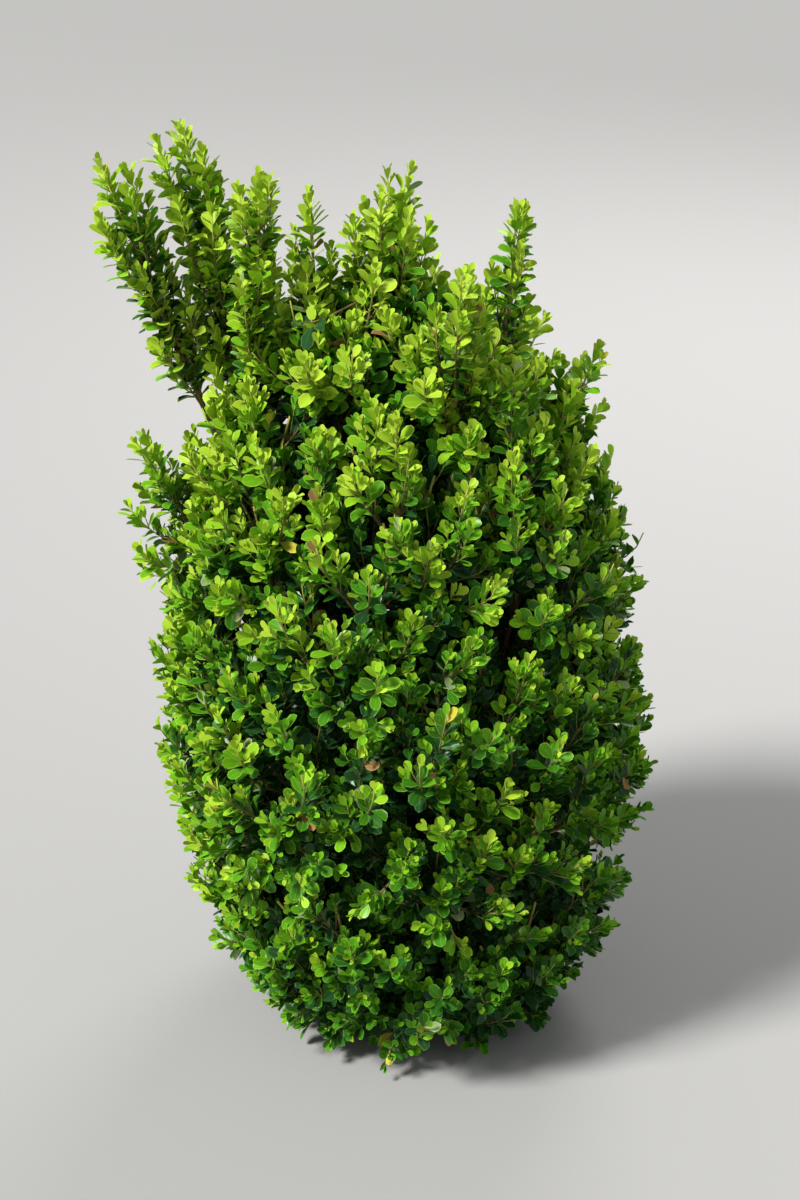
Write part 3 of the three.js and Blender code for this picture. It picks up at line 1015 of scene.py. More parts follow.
@dataclass(frozen=True)
class Blade:
    """The leaf's shape: half widths at stations along it, from a narrow root to a round tip."""

    stations: tuple[float, ...] = (0.22, 0.52, 0.80, 0.95)
    widths: tuple[float, ...] = (0.34, 0.92, 0.94, 0.56)
    tip: float = 1.0

    def outline(self) -> tuple[np.ndarray, np.ndarray]:
        """Lays out the leaf's vertices, the midrib's first.

        Returns:
            Each vertex's side, from -1 to 1, and its share of the length.
        """
        rib = [0.0, *self.stations[:-1], self.tip]
        side = [0.0] * len(rib) + list(self.widths) + [-w for w in self.widths]
        along = rib + list(self.stations) * 2
        return np.array(side), np.array(along)

    def faces(self) -> list[np.ndarray]:
        """Joins the vertices of one leaf.

        Returns:
            The four-sided faces, and the triangles at each side of its root.
        """
        count = len(self.stations)
        ribs = count + 1
        quads = []
        triangles = []
        for hand in (0, 1):
            edge = ribs + hand * count
            order = slice(None, None, -1 if hand else 1)
            triangles.append([0, edge, 1][order])
            for k in range(count - 1):
                quads.append([k + 1, edge + k, edge + k + 1, k + 2][order])
        return [np.array(quads), np.array(triangles)]


@dataclass
class Foliage:
    """Every leaf of the shrub, gathered as arrays and built as meshes of one tint each."""

    seed: int = 23
    most: int = 13000
    bend_in: float = 0.25
    bend_down: float = 0.5
    blade: Blade = field(default_factory=Blade)
    plain_blade: Blade = field(default_factory=lambda: Blade((0.32, 0.66, 0.93), (0.58, 1.0, 0.56)))
    rows: dict[Tint, list[np.ndarray]] = field(default_factory=lambda: {tint: [] for tint in Tint})

    def add(self, tint: Tint, rows: np.ndarray) -> None:
        """Adds leaves of a tint. A row is root, direction, upper side, length, width, cup and bend."""
        self.rows[tint].append(rows)

    def count(self) -> int:
        """Returns the number of leaves."""
        return sum(len(rows) for many in self.rows.values() for rows in many)

    def build(self, nodes: list[str]) -> list[bpy.types.Object]:
        """Builds and dresses the leaves.

        Args:
            nodes: The nodes that they stand for.

        Returns:
            The pieces.
        """
        made = []
        for finish in FOLIAGE_FINISHES:
            many = self.rows[finish.tint]
            if not many:
                continue
            rows = np.concatenate(many)
            material = finish.make()
            parts = math.ceil(len(rows) / self.most)
            blade = self.plain_blade if finish.tint in (Tint.DEEP, Tint.SHADE) else self.blade
            for number, part in enumerate(np.array_split(rows, parts)):
                name = f"leaves_{finish.tint.value}" + (f"_{number + 1}" if parts > 1 else "")
                piece = self._mesh(name, part, blade)
                piece.data.materials.append(material)
                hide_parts(*nodes)
                made.append(piece)
        return made

    def _mesh(self, name: str, rows: np.ndarray, blade: Blade) -> bpy.types.Object:
        """Builds one mesh of leaves.

        Args:
            name: The piece's name.
            rows: The leaves, as add() takes them.
            blade: The leaves' shape.

        Returns:
            The piece.
        """
        rng = np.random.default_rng(self.seed)
        root, run, up = rows[:, 0:3], unit(rows[:, 3:6]), rows[:, 6:9]
        length, width, cup, bend = (rows[:, k, None] for k in range(9, 13))
        up = unit(up - run * (up * run).sum(1, keepdims=True))
        side = np.cross(run, up)
        across, along = blade.outline()
        reach = along * (1 - self.bend_in * bend * along)
        lift = cup * np.abs(across) * width / 2 - bend * along**2 * length * self.bend_down
        vertices = root[:, None] + run[:, None] * (reach * length)[..., None]
        vertices = vertices + side[:, None] * (across * width / 2)[..., None]
        vertices = vertices + up[:, None] * lift[..., None]
        start = (np.arange(len(rows)) * len(across))[:, None, None]
        faces = [(face + start).reshape(-1, face.shape[1]) for face in blade.faces()]
        piece = make_piece(name, vertices.reshape(-1, 3), faces)
        u = 0.5 + (0.5 - CELL_MARGIN) * np.sign(across)
        v = CELL_MARGIN + (1 - 2 * CELL_MARGIN) * along
        cell = rng.integers(0, MAP_CELLS, (len(rows), 1, 2))
        set_map(piece, ((cell + np.stack([u, v], axis=1)) / MAP_CELLS).reshape(-1, 2))
        return piece


@dataclass(frozen=True)
class Habit:
    """How a shoot bears leaves: sizes in millimetres, angles in degrees, and the rest as shares."""

    leaf: float = 21.5
    leaf_range: tuple[float, float] = (0.82, 1.14)
    slender: float = 0.52
    width_range: tuple[float, float] = (0.88, 1.12)
    young: float = 0.52
    young_step: float = 0.16
    young_narrow: float = 0.14
    step: float = 7.4
    step_jitter: float = 0.8
    tip_closer: float = 0.35
    tip_pairs: float = 2.0
    column_step: float = 6.9
    column_leaf: float = 0.97
    column_side: float = 0.62
    angle_tip: float = 22.0
    angle_foot: float = 54.0
    angle_spread: float = 9.0
    open_pairs: float = 5.0
    turn_spread: float = 0.16
    roll: float = 0.3
    light: float = 0.85
    light_up: float = 1.1
    cup: float = 0.34
    cup_spread: float = 0.2
    most_bend: float = 0.5
    first_share: float = 0.02
    run_share: float = 0.05
    blade_middle: float = 0.6
    lowest_middle: float = 8.0
    lowest_end: float = 5.0
    lowest_root: float = 4.0


@dataclass(frozen=True)
class SideHabit:
    """How pairs of side shoots grow behind a shoot's tip: sizes in millimetres, the rest as shares."""

    first: tuple[float, float] = (25.0, 36.0)
    step: tuple[float, float] = (17.0, 23.0)
    missing: float = 0.12
    ahead: float = 0.06
    least: float = 9.0
    growth: float = 0.5
    most: float = 36.0
    reach_range: tuple[float, float] = (0.75, 1.2)
    spread: float = 0.66
    rise: float = 0.2
    end_run: float = 0.5
    end_rise: float = 0.45
    way_reach: float = 0.6
    end_reach: float = 0.45
    elbow: float = 0.55
    lowest: float = 12.0
    bare: float = 5.0
    light: float = 0.88
    leaf: float = 0.9
    radii: tuple[float, float] = (0.75, 0.4)


@dataclass(frozen=True)
class SprayHabit:
    """How sprays of the clipped body stand: sizes in millimetres, and heights as shares of the crown."""

    jitter: float = 6.0
    jitter_up: float = 0.8
    tuck: float = 9.0
    tuck_span: tuple[float, float] = (0.08, 0.5)
    foot_height: float = 0.08
    foot_rise: float = 0.25
    rise: float = 0.6
    rise_by_height: float = 2.0
    out: float = 0.8
    out_by_height: float = 0.45
    spread: float = 0.16
    lowest: float = 21.0
    lowest_spread: float = 9.0
    lift_range: tuple[float, float] = (0.3, 1.0)
    behind: tuple[float, float] = (70.0, 95.0)
    shortest: float = 30.0
    made_up: float = 45.0
    leave_up: float = 0.25
    leave_pull: float = 0.3
    tip_pull: float = 0.42
    bearing_share: float = 0.9
    bearing: float = 66.0
    bearing_by_light: float = 54.0
    radii: tuple[float, float] = (1.25, 0.6)


@dataclass(frozen=True)
class ColumnHabit:
    """How leafy columns rise round a shoot's leader: sizes in millimetres, and shares of its length."""

    leader_light: float = 1.15
    leader_bearing: float = 0.9
    light: float = 1.1
    space: float = 1000.0
    first: float = 0.1
    span: float = 0.76
    turn: float = 0.3
    room_ahead: float = 0.1
    inside: float = 8.0
    room_range: tuple[float, float] = (0.7, 1.0)
    tip_ahead: float = 0.13
    foot_back: float = 0.24
    lowest_foot: float = 0.02
    placed_back: float = 0.65
    placed_highest: float = 0.4
    lean: float = 0.2
    spread: float = 0.08
    leave_up: float = 0.2
    pull: float = 0.35
    bearing: float = 0.85
    side_bearing: float = 0.75
    radii: tuple[float, float] = (1.1, 0.5)


PALE_TO_DARK = (Tint.BUD, Tint.LIME, Tint.FRESH, Tint.GRASS, Tint.LEAF, Tint.DEEP, Tint.SHADE)
# A leaf draws a number from 0 to 1, and takes the first of these tints whose own number is above it.
ODD_TINTS = ((Tint.YELLOW, 0.003), (Tint.DRY, 0.006), (Tint.PALE, 0.018))


@dataclass(frozen=True)
class Tone:
    """What makes a shoot's leaves paler: its light, painted light towards the top and on the left, painted
    shade at the foot and on the right, and chance.

    A leaf's tint is a number in PALE_TO_DARK. At full_tone it is the start at the shoot's tip, and the slope
    is added for each pair behind it. Each whole step of tone below that adds tints_a_tone.
    """

    # A share of the shoot's light at the ground, and the painted light that it gains towards the top.
    low: float = 0.52
    by_height: float = 0.6
    lump: float = 0.12
    lump_size: float = 70.0
    lump_seed: int = 17
    spread: float = 0.1
    # Painted light on the left side, where the light falls from, and painted shade on the right side.
    left: float = 0.22
    right: float = 0.18
    painted_light_left_span: tuple[float, float] = (40.0, 180.0)
    painted_shade_right_span: tuple[float, float] = (-40.0, 180.0)
    # Painted light on the top.
    top: float = 0.12
    painted_light_top_span: tuple[float, float] = (0.5, 0.75)
    # Painted shade at the foot, under the overhanging body.
    foot: float = 0.3
    painted_shade_foot_span: tuple[float, float] = (0.02, 0.13)
    full_tone: float = 0.95
    tints_a_tone: float = 5.2
    clipped_slope: float = 0.74
    clipped_start: float = -0.45
    column_slope: float = 0.4
    column_start: float = 0.35
    leaf_spread: float = 0.5


@dataclass(frozen=True)
class Layer:
    """A layer of sprays, which end at about the same depth inside the skin.

    count is their number, turn the angle of the first in radians, and shallow and deep their depths in
    millimetres. vigour is their light, and size their leaves' size as a share of the habit's. lumpy is how
    far the skin's lumps move them in and out, and lift how far they may stand proud of the top.
    """

    count: int
    turn: float
    shallow: float
    deep: float
    vigour: float
    size: float = 1.0
    lumpy: float = 0.0
    lift: float = 0.0


LAYERS = (
    Layer(325, 2.3, 76, 130, -0.1, 1.35),
    Layer(330, 1.1, 34, 64, 0.2, 1.12),
    Layer(240, 0.5, 12, 30, 0.7, 1.0, 6.0),
    Layer(330, 0.0, 2, 14, 1.08, 1.0, 8.0),
    Layer(110, 2.9, 6, 30, 1.2, 1.0, 0.0, 48.0),
)
# Tips of columns that the outline of the top needs, beside those that the habit places.
COLUMN_TIPS = {
    "plume_left": ((-240, -18, 836), (-262, -46, 803), (-224, -20, 723)),
    "plume_middle": (
        (-216, 6, 854),
        (-178, 4, 846),
        (-168, 26, 803),
        (-199, -6, 803),
        (-170, -12, 800),
        (-212, -4, 756),
        (-172, -10, 693),
    ),
    "plume_right": ((-119, -42, 768), (-145, -30, 822), (-130, -44, 776), (-143, -56, 748)),
    "spire_left": ((-69, 32, 752), (-102, 32, 744)),
    "spire_middle": (
        (-50, 0, 788),
        (14, 8, 781),
        (-6, 36, 792),
        (-36, 30, 776),
        (-2, -12, 795),
        (-26, -10, 806),
    ),
    "spur_right": ((148, 6, 632), (156, 44, 644)),
    "spur_left": ((-230, 4, 568), (-253, -22, 529), (-242, -42, 496), (-246, 8, 455)),
    "spur_front": ((22, -98, 736), (58, -100, 742)),
    "spur_back": ((102, 84, 648), (132, 72, 640)),
}
TWIG_POINTS = 12
SHOOT_POINTS = 14
SIDE_POINTS = 7
LEADER_POINTS = 24


@dataclass(frozen=True)
class Light:
    """The light that a shoot has: about 1 in the open and 0 in the shade, and the way out of the crown."""

    vigour: float
    out: np.ndarray
    clipped: bool = True

    def dimmed(self, share: float) -> "Light":
        """Returns a share of this light."""
        return Light(self.vigour * share, self.out, self.clipped)


@dataclass
class Growth:
    """Grows leafy sprays from the limbs to the crown's skin, by seeded rules."""

    crown: Crown
    masses: list[Mass]
    limbs: Limbs
    seed: int = 7
    outside: float = 5.0
    leaf_outside: float = 7.0
    proud_from: float = 0.62
    skin_lumps: float = 95.0
    skin_seed: int = 3
    stem_end: float = 0.86
    leader_end: float = 0.95
    stem_tip_radius: float = 1.1
    leader_tip_radius: float = 0.7
    skirt_radius: float = 4.2
    skirt_from: float = 48.0
    keep_step: float = 6.0
    keep_from: float = 0.08
    fewest_kept: int = 3
    frame_targets: int = 190
    frame_turn: float = 0.4
    frame_depth: tuple[float, float] = (46.0, 60.0)
    frame_back: float = 0.3
    frame_span: tuple[float, float] = (0.06, 0.74)
    frame_sag: float = 0.12
    frame_radii: tuple[float, float] = (2.1, 1.2)
    habit: Habit = field(default_factory=Habit)
    side_habit: SideHabit = field(default_factory=SideHabit)
    spray_habit: SprayHabit = field(default_factory=SprayHabit)
    column_habit: ColumnHabit = field(default_factory=ColumnHabit)
    tone: Tone = field(default_factory=Tone)
    foliage: Foliage = field(default_factory=Foliage)

    def __post_init__(self) -> None:
        """Makes the random generator, the empty twig sets and the masses' seeds."""
        self.rng = np.random.default_rng(self.seed)
        self.woody = Twigs("twigs_woody", WOODY_TWIGS, steps=8, sides=5)
        self.green = Twigs("twigs_green", GREEN_TWIGS, steps=4, sides=3)
        self.frame: dict[str, list[np.ndarray]] = {mass.name: [] for mass in self.masses}
        seeds = [mass.seeds() for mass in self.masses]
        self.seeds = np.concatenate([points for points, _ in seeds])
        self.powers = np.concatenate([powers for _, powers in seeds])

    def owner(self, point: np.ndarray) -> Mass:
        """Returns the mass whose space a point is in."""
        distance = ((self.seeds - point) ** 2).sum(1) - self.powers
        return self.masses[int(distance.argmin()) // len(SEED_SHARES)]

    def grow(self) -> None:
        """Grows the masses' stems, their twigs, and the sprays on those."""
        self._stems()
        self._frame_twigs()
        for layer in LAYERS:
            for target in self.crown.targets(layer.count, layer.turn):
                bulge = layer.lumpy * float(lumps(target, self.skin_lumps, self.skin_seed))
                depth = self.rng.uniform(layer.shallow, layer.deep) - bulge
                if not layer.lift or target[2] > self.proud_from * self.crown.height:
                    self._dome_spray(target, depth, layer)
        for mass in self.masses:
            if not mass.dome:
                self._shoot(mass)

    def _stems(self) -> None:
        """Grows each mass's own stem, on from its bough or, in the skirt, from beside the main stem."""
        for mass in self.masses:
            end = self.stem_end if mass.dome else self.leader_end
            line = bezier([mass.foot, mass.at(0.5), mass.at(end)], TWIG_POINTS)
            limb = self.limbs.boughs.get(mass.name)
            start = limb.radii[-1] if limb else self.skirt_radius
            if limb is None:
                line = np.concatenate([[np.array([*self.limbs.stem_lean, self.skirt_from])], line])
            self.woody.add(line, start, self.stem_tip_radius if mass.dome else self.leader_tip_radius)
            self._keep(mass, line)

    def _keep(self, mass: Mass, line: np.ndarray) -> None:
        """Keeps a twig's points, for later twigs to grow from."""
        count = max(self.fewest_kept, round(length_of(line) / self.keep_step))
        self.frame[mass.name].append(resample(line, np.linspace(self.keep_from, 1, count)))

    def _frame_twigs(self) -> None:
        """Grows the first twigs of each mass, to even points well inside the skin."""
        for target in self.crown.targets(self.frame_targets, self.frame_turn):
            mass = self.owner(target)
            if not mass.dome:
                continue
            inside = target - unit(self.crown.from_axis(target)) * self.rng.uniform(*self.frame_depth)
            foot = mass.at(np.clip(mass.share_of(inside) - self.frame_back, *self.frame_span))
            gap = np.linalg.norm(inside - foot)
            elbow = foot + (inside - foot) * 0.5 - UP * self.frame_sag * gap
            line = bezier([foot, elbow, inside], TWIG_POINTS)
            self.woody.add(line, *self.frame_radii)
            self._keep(mass, line)

    def _dome_spray(self, target: np.ndarray, depth: float, layer: Layer) -> None:
        """Grows a spray whose tip is some way inside a point of the clipped body's skin.

        Args:
            target: A point on the skin.
            depth: How far inside it the spray ends, in millimetres.
            layer: The layer that it belongs to.
        """
        habit = self.spray_habit
        mass = self.owner(target)
        if not mass.dome:
            mass = min((m for m in self.masses if m.dome), key=lambda m: np.linalg.norm(m.tip - target))
        out = unit(self.crown.from_axis(target))
        height = target[2] / self.crown.height
        jitter = self.rng.normal(size=3) * habit.jitter
        depth += habit.tuck * float(1 - smoothstep(height, *habit.tuck_span))
        tip = target - out * depth + jitter * np.array([1, 1, habit.jitter_up])
        rise = habit.foot_rise
        if height > habit.foot_height:
            rise = habit.rise + habit.rise_by_height * height
        way = out * (habit.out - habit.out_by_height * height) + UP * rise
        way = unit(way + self.rng.normal(size=3) * habit.spread)
        lowest = habit.lowest + habit.lowest_spread * self.rng.random()
        tip[2] = max(tip[2], lowest) + layer.lift * self.rng.uniform(*habit.lift_range)
        self._spray(mass, tip, way, Light(layer.vigour, out, not layer.lift), layer.size)

    def _spray(self, mass: Mass, tip: np.ndarray, way: np.ndarray, light: Light, size: float) -> None:
        """Grows one spray: a main shoot from the nearest twig, and side shoots in opposite pairs.

        Args:
            mass: The mass that it belongs to.
            tip: Where its main shoot ends.
            way: The direction that it ends in.
            light: The light that it has.
            size: Its leaves' size, as a share of the habit's.
        """
        rng = self.rng
        habit = self.spray_habit
        frame = np.concatenate(self.frame[mass.name])
        wanted = tip - way * rng.uniform(*habit.behind)
        foot = frame[((frame - wanted) ** 2).sum(1).argmin()]
        gap = float(np.linalg.norm(tip - foot))
        if gap < habit.shortest:
            foot = tip - way * habit.made_up
            gap = habit.made_up
        leave = unit(unit(tip - foot) + UP * habit.leave_up)
        elbow = foot + leave * gap * habit.leave_pull
        line = bezier([foot, elbow, tip - way * gap * habit.tip_pull, tip], SHOOT_POINTS)
        self.woody.add(line, *habit.radii)
        bearing = min(gap * habit.bearing_share, habit.bearing + habit.bearing_by_light * light.vigour)
        turn = rng.uniform(0, math.pi)
        self._leaves(line, bearing, light, turn, size)
        self._sides(line, bearing, light, turn, size)

    def _sides(self, line: np.ndarray, bearing: float, light: Light, turn: float, size: float) -> None:
        """Grows side shoots in opposite pairs behind a shoot's tip.

        Args:
            line: The main shoot.
            bearing: The length of it that bears leaves.
            light: The light that it has.
            turn: The angle of the first pair of leaves.
            size: The leaves' size, as a share of the habit's.
        """
        rng = self.rng
        habit = self.side_habit
        total = length_of(line)
        back = rng.uniform(*habit.first)
        level = 0
        while back < bearing:
            share = 1 - back / total
            at, ahead = resample(line, np.array([share, min(share + habit.ahead, 1)]))
            run = unit(ahead - at)
            side = self._side_of(run, turn + level * math.pi / 2)
            for hand in (-1, 1):
                if rng.random() < habit.missing:
                    continue
                reach = min(habit.growth * back + habit.least, habit.most)
                reach *= rng.uniform(*habit.reach_range)
                reach *= 1.0 if light.clipped else self.habit.column_side
                way = unit(run + side * hand * habit.spread + UP * habit.rise)
                end = unit(way + run * habit.end_run + UP * habit.end_rise)
                tip = at + way * reach * habit.way_reach + end * reach * habit.end_reach
                if light.clipped and (self.crown.room(tip) < -self.outside or tip[2] < habit.lowest):
                    continue
                twig = bezier([at, at + way * reach * habit.elbow, tip], SIDE_POINTS)
                self.green.add(twig, *habit.radii)
                dimmed = light.dimmed(habit.light)
                self._leaves(twig, reach - habit.bare, dimmed, rng.uniform(0, math.pi), size * habit.leaf)
            back += rng.uniform(*habit.step)
            level += 1

    def _side_of(self, run: np.ndarray, turn: float) -> np.ndarray:
        """Finds a direction square to a twig.

        Args:
            run: The twig's direction.
            turn: The angle round it, in radians.

        Returns:
            The direction.
        """
        reference = np.array([1.0, 0, 0]) if abs(run[0]) < NEAR_X else np.array([0, 1.0, 0])
        first = unit(np.cross(run, reference))
        return first * math.cos(turn) + np.cross(run, first) * math.sin(turn)

    def _leaves(self, line: np.ndarray, bearing: float, light: Light, turn: float, size: float) -> None:
        """Puts crossed pairs of leaves on the end of a shoot, small and close at its tip.

        Args:
            line: The shoot.
            bearing: The length that bears leaves, in millimetres.
            light: The light that it has.
            turn: The angle of the first pair round the shoot.
            size: The leaves' size, as a share of the habit's.
        """
        rng = self.rng
        habit = self.habit
        step = habit.step if light.clipped else habit.column_step
        pairs = max(2, int(bearing / step))
        k = np.repeat(np.arange(pairs), 2)
        hand = np.tile([-1.0, 1.0], pairs)
        back = step * (k - habit.tip_closer * np.exp(-k / habit.tip_pairs))
        back = back + rng.uniform(-habit.step_jitter, habit.step_jitter, len(k))
        share = np.clip(1 - np.maximum(back, 0) / length_of(line), habit.first_share, 1)
        at = resample(line, share)
        ahead = resample(line, np.minimum(share + habit.run_share, 1.0))
        run = unit(ahead - resample(line, np.maximum(share - habit.run_share, 0.0)))
        first = self._side_of(run[0], 0.0)
        first = unit(first - run * (run @ first)[:, None])
        angle = turn + k * math.pi / 2 + rng.normal(0, habit.turn_spread, len(k))
        side = first * np.cos(angle)[:, None] + np.cross(run, first) * np.sin(angle)[:, None]
        open_by = np.clip(k / habit.open_pairs, 0, 1)
        lean = habit.angle_tip + (habit.angle_foot - habit.angle_tip) * open_by
        lean = np.radians(lean + rng.normal(0, habit.angle_spread, len(k)))[:, None]
        way = run * np.cos(lean) + side * hand[:, None] * np.sin(lean)
        to_light = unit(light.out + UP * habit.light_up)
        up = unit(run - way * (run * way).sum(1, keepdims=True)) + habit.light * to_light
        up = up + np.cross(way, up) * rng.normal(0, habit.roll, (len(k), 1))
        young = np.clip(habit.young + habit.young_step * k, 0, 1)
        length = habit.leaf * size * young * rng.uniform(*habit.leaf_range, len(k))
        narrow = 1 - habit.young_narrow + habit.young_narrow * young
        width = length * habit.slender * rng.uniform(*habit.width_range, len(k)) * narrow
        cup = rng.normal(habit.cup, habit.cup_spread, len(k))
        bend = rng.uniform(0.0, habit.most_bend, len(k)) * open_by
        rows = np.concatenate([at, way, up, np.stack([length, width, cup, bend], axis=1)], axis=1)
        middle = at + way * length[:, None] * habit.blade_middle
        end = at + way * length[:, None]
        keep = (middle[:, 2] > habit.lowest_middle) & (end[:, 2] > habit.lowest_end)
        keep &= at[:, 2] > habit.lowest_root
        if light.clipped:
            keep &= self.crown.room(end) > -self.leaf_outside
        self._deal(rows[keep], k[keep], light, at[-1])

    def _tone(self, light: Light, at: np.ndarray) -> float:
        """Works out how pale a shoot's leaves are, with painted light and painted shade by height and side.

        Args:
            light: The light that the shoot has.
            at: A point of the shoot.

        Returns:
            The tone, about 0 for dark leaves and 1 for pale ones.
        """
        rule = self.tone
        height = at[2] / self.crown.height
        # The shoot's light, with painted light that grows towards the top.
        tone = light.vigour * (rule.low + rule.by_height * height)
        tone += rule.lump * float(lumps(at, rule.lump_size, rule.lump_seed))
        tone += self.rng.normal(0, rule.spread)
        # Painted light on the left and painted shade on the right, less of both towards the top.
        left = rule.left * smoothstep(-at[0], *rule.painted_light_left_span)
        right = rule.right * smoothstep(at[0], *rule.painted_shade_right_span)
        tone += (left - right) * (1 - height)
        # Painted light at the top and painted shade at the foot.
        top = rule.top * smoothstep(height, *rule.painted_light_top_span)
        return tone + (top - rule.foot * (1 - smoothstep(height, *rule.painted_shade_foot_span)))

    def _deal(self, rows: np.ndarray, k: np.ndarray, light: Light, at: np.ndarray) -> None:
        """Deals out the tints along a shoot: young at its tip, mature behind, and a few odd ones.

        Args:
            rows: The leaves.
            k: Each leaf's pair, counted from the tip.
            light: The light that the shoot has.
            at: A point of the shoot.
        """
        rule = self.tone
        # Darker tints where the tone is lower, which includes the painted light and painted shade.
        darker = (rule.full_tone - self._tone(light, at)) * rule.tints_a_tone
        start, slope = rule.column_start, rule.column_slope
        if light.clipped:
            start, slope = rule.clipped_start, rule.clipped_slope
        index = start + k * slope + darker + self.rng.normal(0, rule.leaf_spread, len(k))
        index = np.clip(np.round(index), 0, len(PALE_TO_DARK) - 1).astype(int)
        chance = self.rng.random(len(k))
        least = 0.0
        for tint, most in ODD_TINTS:
            self.foliage.add(tint, rows[(chance >= least) & (chance < most)])
            least = most
        for number, tint in enumerate(PALE_TO_DARK):
            self.foliage.add(tint, rows[(index == number) & (chance >= least)])

    def _shoot(self, mass: Mass) -> None:
        """Dresses a shoot that has outgrown the clipped body: its leader, and columns round it.

        Args:
            mass: The shoot's mass.
        """
        rng = self.rng
        habit = self.column_habit
        line = np.stack([mass.at(share) for share in np.linspace(0, self.leader_end, LEADER_POINTS)])
        light = Light(habit.leader_light, unit(self.crown.from_axis(mass.at(0.5)) + NUDGE), False)
        bearing = mass.length * habit.leader_bearing
        self._leaves(line, bearing, light, rng.uniform(0, math.pi), self.habit.column_leaf)
        count = round(mass.length * mass.radius / habit.space)
        for k in range(count):
            share = habit.first + habit.span * (k + 0.5) / count
            turn = k * GOLDEN_ANGLE + rng.uniform(-habit.turn, habit.turn)
            side = self._side_of(mass.direction, turn)
            room = float(mass.reach(share + habit.room_ahead)) - habit.inside
            tip = mass.at(share + habit.tip_ahead) + side * room * rng.uniform(*habit.room_range)
            foot = mass.at(max(share - habit.foot_back, habit.lowest_foot))
            self._column(foot, tip, mass.direction + side * habit.lean)
        for tip in np.array(COLUMN_TIPS.get(mass.name, ()), float):
            back = mass.share_of(tip) - habit.placed_back
            foot = mass.at(np.clip(back, habit.lowest_foot, habit.placed_highest))
            self._column(foot, tip, mass.direction)

    def _column(self, foot: np.ndarray, tip: np.ndarray, way: np.ndarray) -> None:
        """Grows a leafy column with short side shoots.

        Args:
            foot: Where it starts.
            tip: Where it ends.
            way: The direction that it ends in.
        """
        rng = self.rng
        habit = self.column_habit
        gap = float(np.linalg.norm(tip - foot))
        way = unit(way + rng.normal(size=3) * habit.spread)
        leave = unit(tip - foot + UP * habit.leave_up * gap)
        elbow = foot + leave * gap * habit.pull
        line = bezier([foot, elbow, tip - way * gap * habit.pull, tip], SHOOT_POINTS)
        light = Light(habit.light, unit(self.crown.from_axis(tip) + NUDGE), False)
        turn = rng.uniform(0, math.pi)
        self.woody.add(line, *habit.radii)
        self._leaves(line, gap * habit.bearing, light, turn, self.habit.column_leaf)
        self._sides(line, gap * habit.side_bearing, light, turn, self.habit.column_leaf)


@dataclass(frozen=True)
class SoftLight:
    """A square soft light: its place and its side in metres, its power in watts and its colour."""

    name: str
    at: tuple[float, float, float]
    side: float
    watts: float
    colour: tuple[float, float, float]


SOFT_LIGHTS = (
    SoftLight("fill_right", (2.2, -1.4, 1.5), 2.0, 7, (0.96, 0.98, 1.0)),
    SoftLight("rim_back", (0.9, 2.4, 2.2), 1.4, 44, (1.0, 0.98, 0.94)),
)


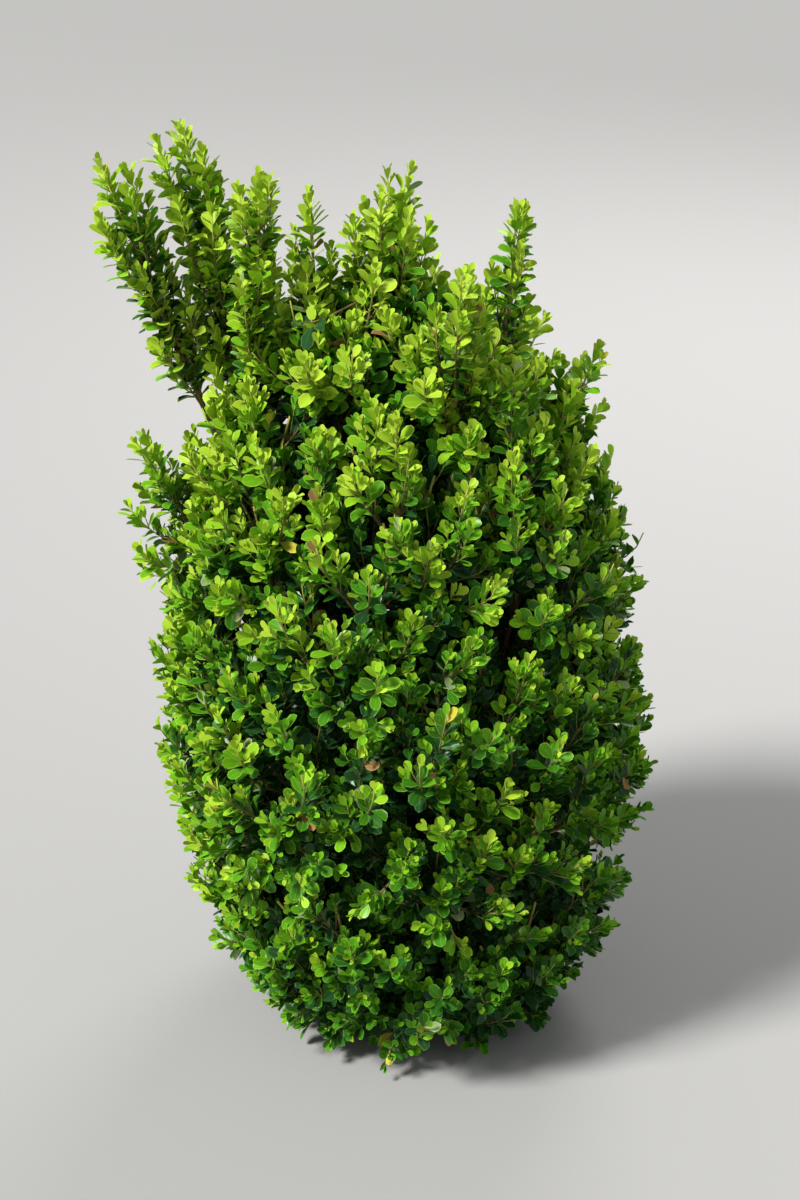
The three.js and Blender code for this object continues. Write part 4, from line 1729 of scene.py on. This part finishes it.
@dataclass(frozen=True)
class Studio:
    """A plain pale floor, soft light from the upper left and a camera at the photograph's angle."""

    camera_at: tuple[float, float, float] = (-0.009, -1.967, 1.344)
    look_at: tuple[float, float, float] = (-0.009, 0.0, 0.427)
    lens: float = 70.1
    sensor: float = 36.0
    floor_size: float = 60.0
    floor_z: float = -0.0005
    floor_colour: tuple[float, float, float] = (0.38, 0.38, 0.39)
    floor_roughness: float = 0.9
    sun_from: tuple[float, float, float] = (-1.75, -1.15, 2.28)
    sun_strength: float = 4.7
    sun_angle: float = 14.0
    sun_colour: tuple[float, float, float] = (1.0, 0.98, 0.93)
    lights_aim: tuple[float, float, float] = (0.0, 0.0, 0.42)
    sky_colour: tuple[float, float, float] = (0.98, 1.0, 0.95)
    sky_strength: float = 0.34

    def build(self) -> None:
        """Builds the floor, the lights and the camera."""
        bpy.context.scene.view_settings.view_transform = "Standard"
        self._floor()
        self._sky()
        self._sun()
        for light in SOFT_LIGHTS:
            self._soft_light(light)
        self._camera()

    def _floor(self) -> None:
        """Lays the floor just under the flat cut."""
        mesh = bpy.data.meshes.new("floor")
        half = self.floor_size / 2
        corners = [(x * half, y * half, self.floor_z) for x, y in ((-1, -1), (1, -1), (1, 1), (-1, 1))]
        mesh.from_pydata(corners, [], [(0, 1, 2, 3)])
        floor = bpy.data.objects.new("floor", mesh)
        bpy.context.scene.collection.objects.link(floor)
        shader = Shader("floor_matte")
        shader.set(Base_Color=self.floor_colour, Roughness=self.floor_roughness)
        mesh.materials.append(shader.material)

    def _sky(self) -> None:
        """Adds the even light of a pale sky."""
        world = bpy.data.worlds.new("soft_sky")
        world.use_nodes = True
        background = world.node_tree.nodes["Background"]
        background.inputs["Color"].default_value = (*self.sky_colour, 1)
        background.inputs["Strength"].default_value = self.sky_strength
        bpy.context.scene.world = world

    def _place(self, data: bpy.types.ID, at: tuple, aim: tuple) -> bpy.types.Object:
        """Puts a lamp or a camera in the scene.

        Args:
            data: The lamp or the camera.
            at: Its place in metres.
            aim: The point that it faces.

        Returns:
            The object, under the data's own name.
        """
        item = bpy.data.objects.new(data.name, data)
        item.location = at
        item.rotation_euler = (Vector(aim) - Vector(at)).to_track_quat("-Z", "Y").to_euler()
        bpy.context.scene.collection.objects.link(item)
        return item

    def _sun(self) -> None:
        """Adds the soft main light from the upper left, which reaches the whole floor alike."""
        light = bpy.data.lights.new("key_left", "SUN")
        light.angle = math.radians(self.sun_angle)
        light.energy = self.sun_strength
        light.color = self.sun_colour
        self._place(light, self.sun_from, (0, 0, 0))

    def _soft_light(self, soft: SoftLight) -> None:
        """Adds a soft light that faces the middle of the crown.

        Args:
            soft: The light's place, size, power and colour.
        """
        light = bpy.data.lights.new(soft.name, "AREA")
        light.size = soft.side
        light.energy = soft.watts
        light.color = soft.colour
        self._place(light, soft.at, self.lights_aim)

    def _camera(self) -> None:
        """Adds the camera and makes it the scene's own."""
        data = bpy.data.cameras.new("camera")
        data.lens = self.lens
        data.sensor_width = self.sensor
        bpy.context.scene.camera = self._place(data, self.camera_at, self.look_at)


def triangles_of(piece: bpy.types.Object) -> int:
    """Returns the number of triangles in a piece."""
    return sum(polygon.loop_total - 2 for polygon in piece.data.polygons)


def main() -> None:
    """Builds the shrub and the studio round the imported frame."""
    logging.basicConfig(level=logging.INFO, format="%(message)s")
    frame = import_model()
    Studio().build()
    crown = Crown()
    masses = plan_masses(crown)
    limbs = Limbs()
    limbs.grow(masses)
    pieces = limbs.build()
    growth = Growth(crown, masses, limbs)
    growth.grow()
    foliage_nodes = sorted(name for name in frame["nodes"] if name.startswith("foliage_"))
    pieces += [growth.woody.build(foliage_nodes), growth.green.build(foliage_nodes)]
    pieces += growth.foliage.build(foliage_nodes)
    total = 0
    for piece in pieces:
        count = triangles_of(piece)
        total += count
        LOG.info("%s: %d triangles", piece.name, count)
    LOG.info("%d leaves, %d triangles in all", growth.foliage.count(), total)
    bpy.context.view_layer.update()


if __name__ == "__main__":
    main()
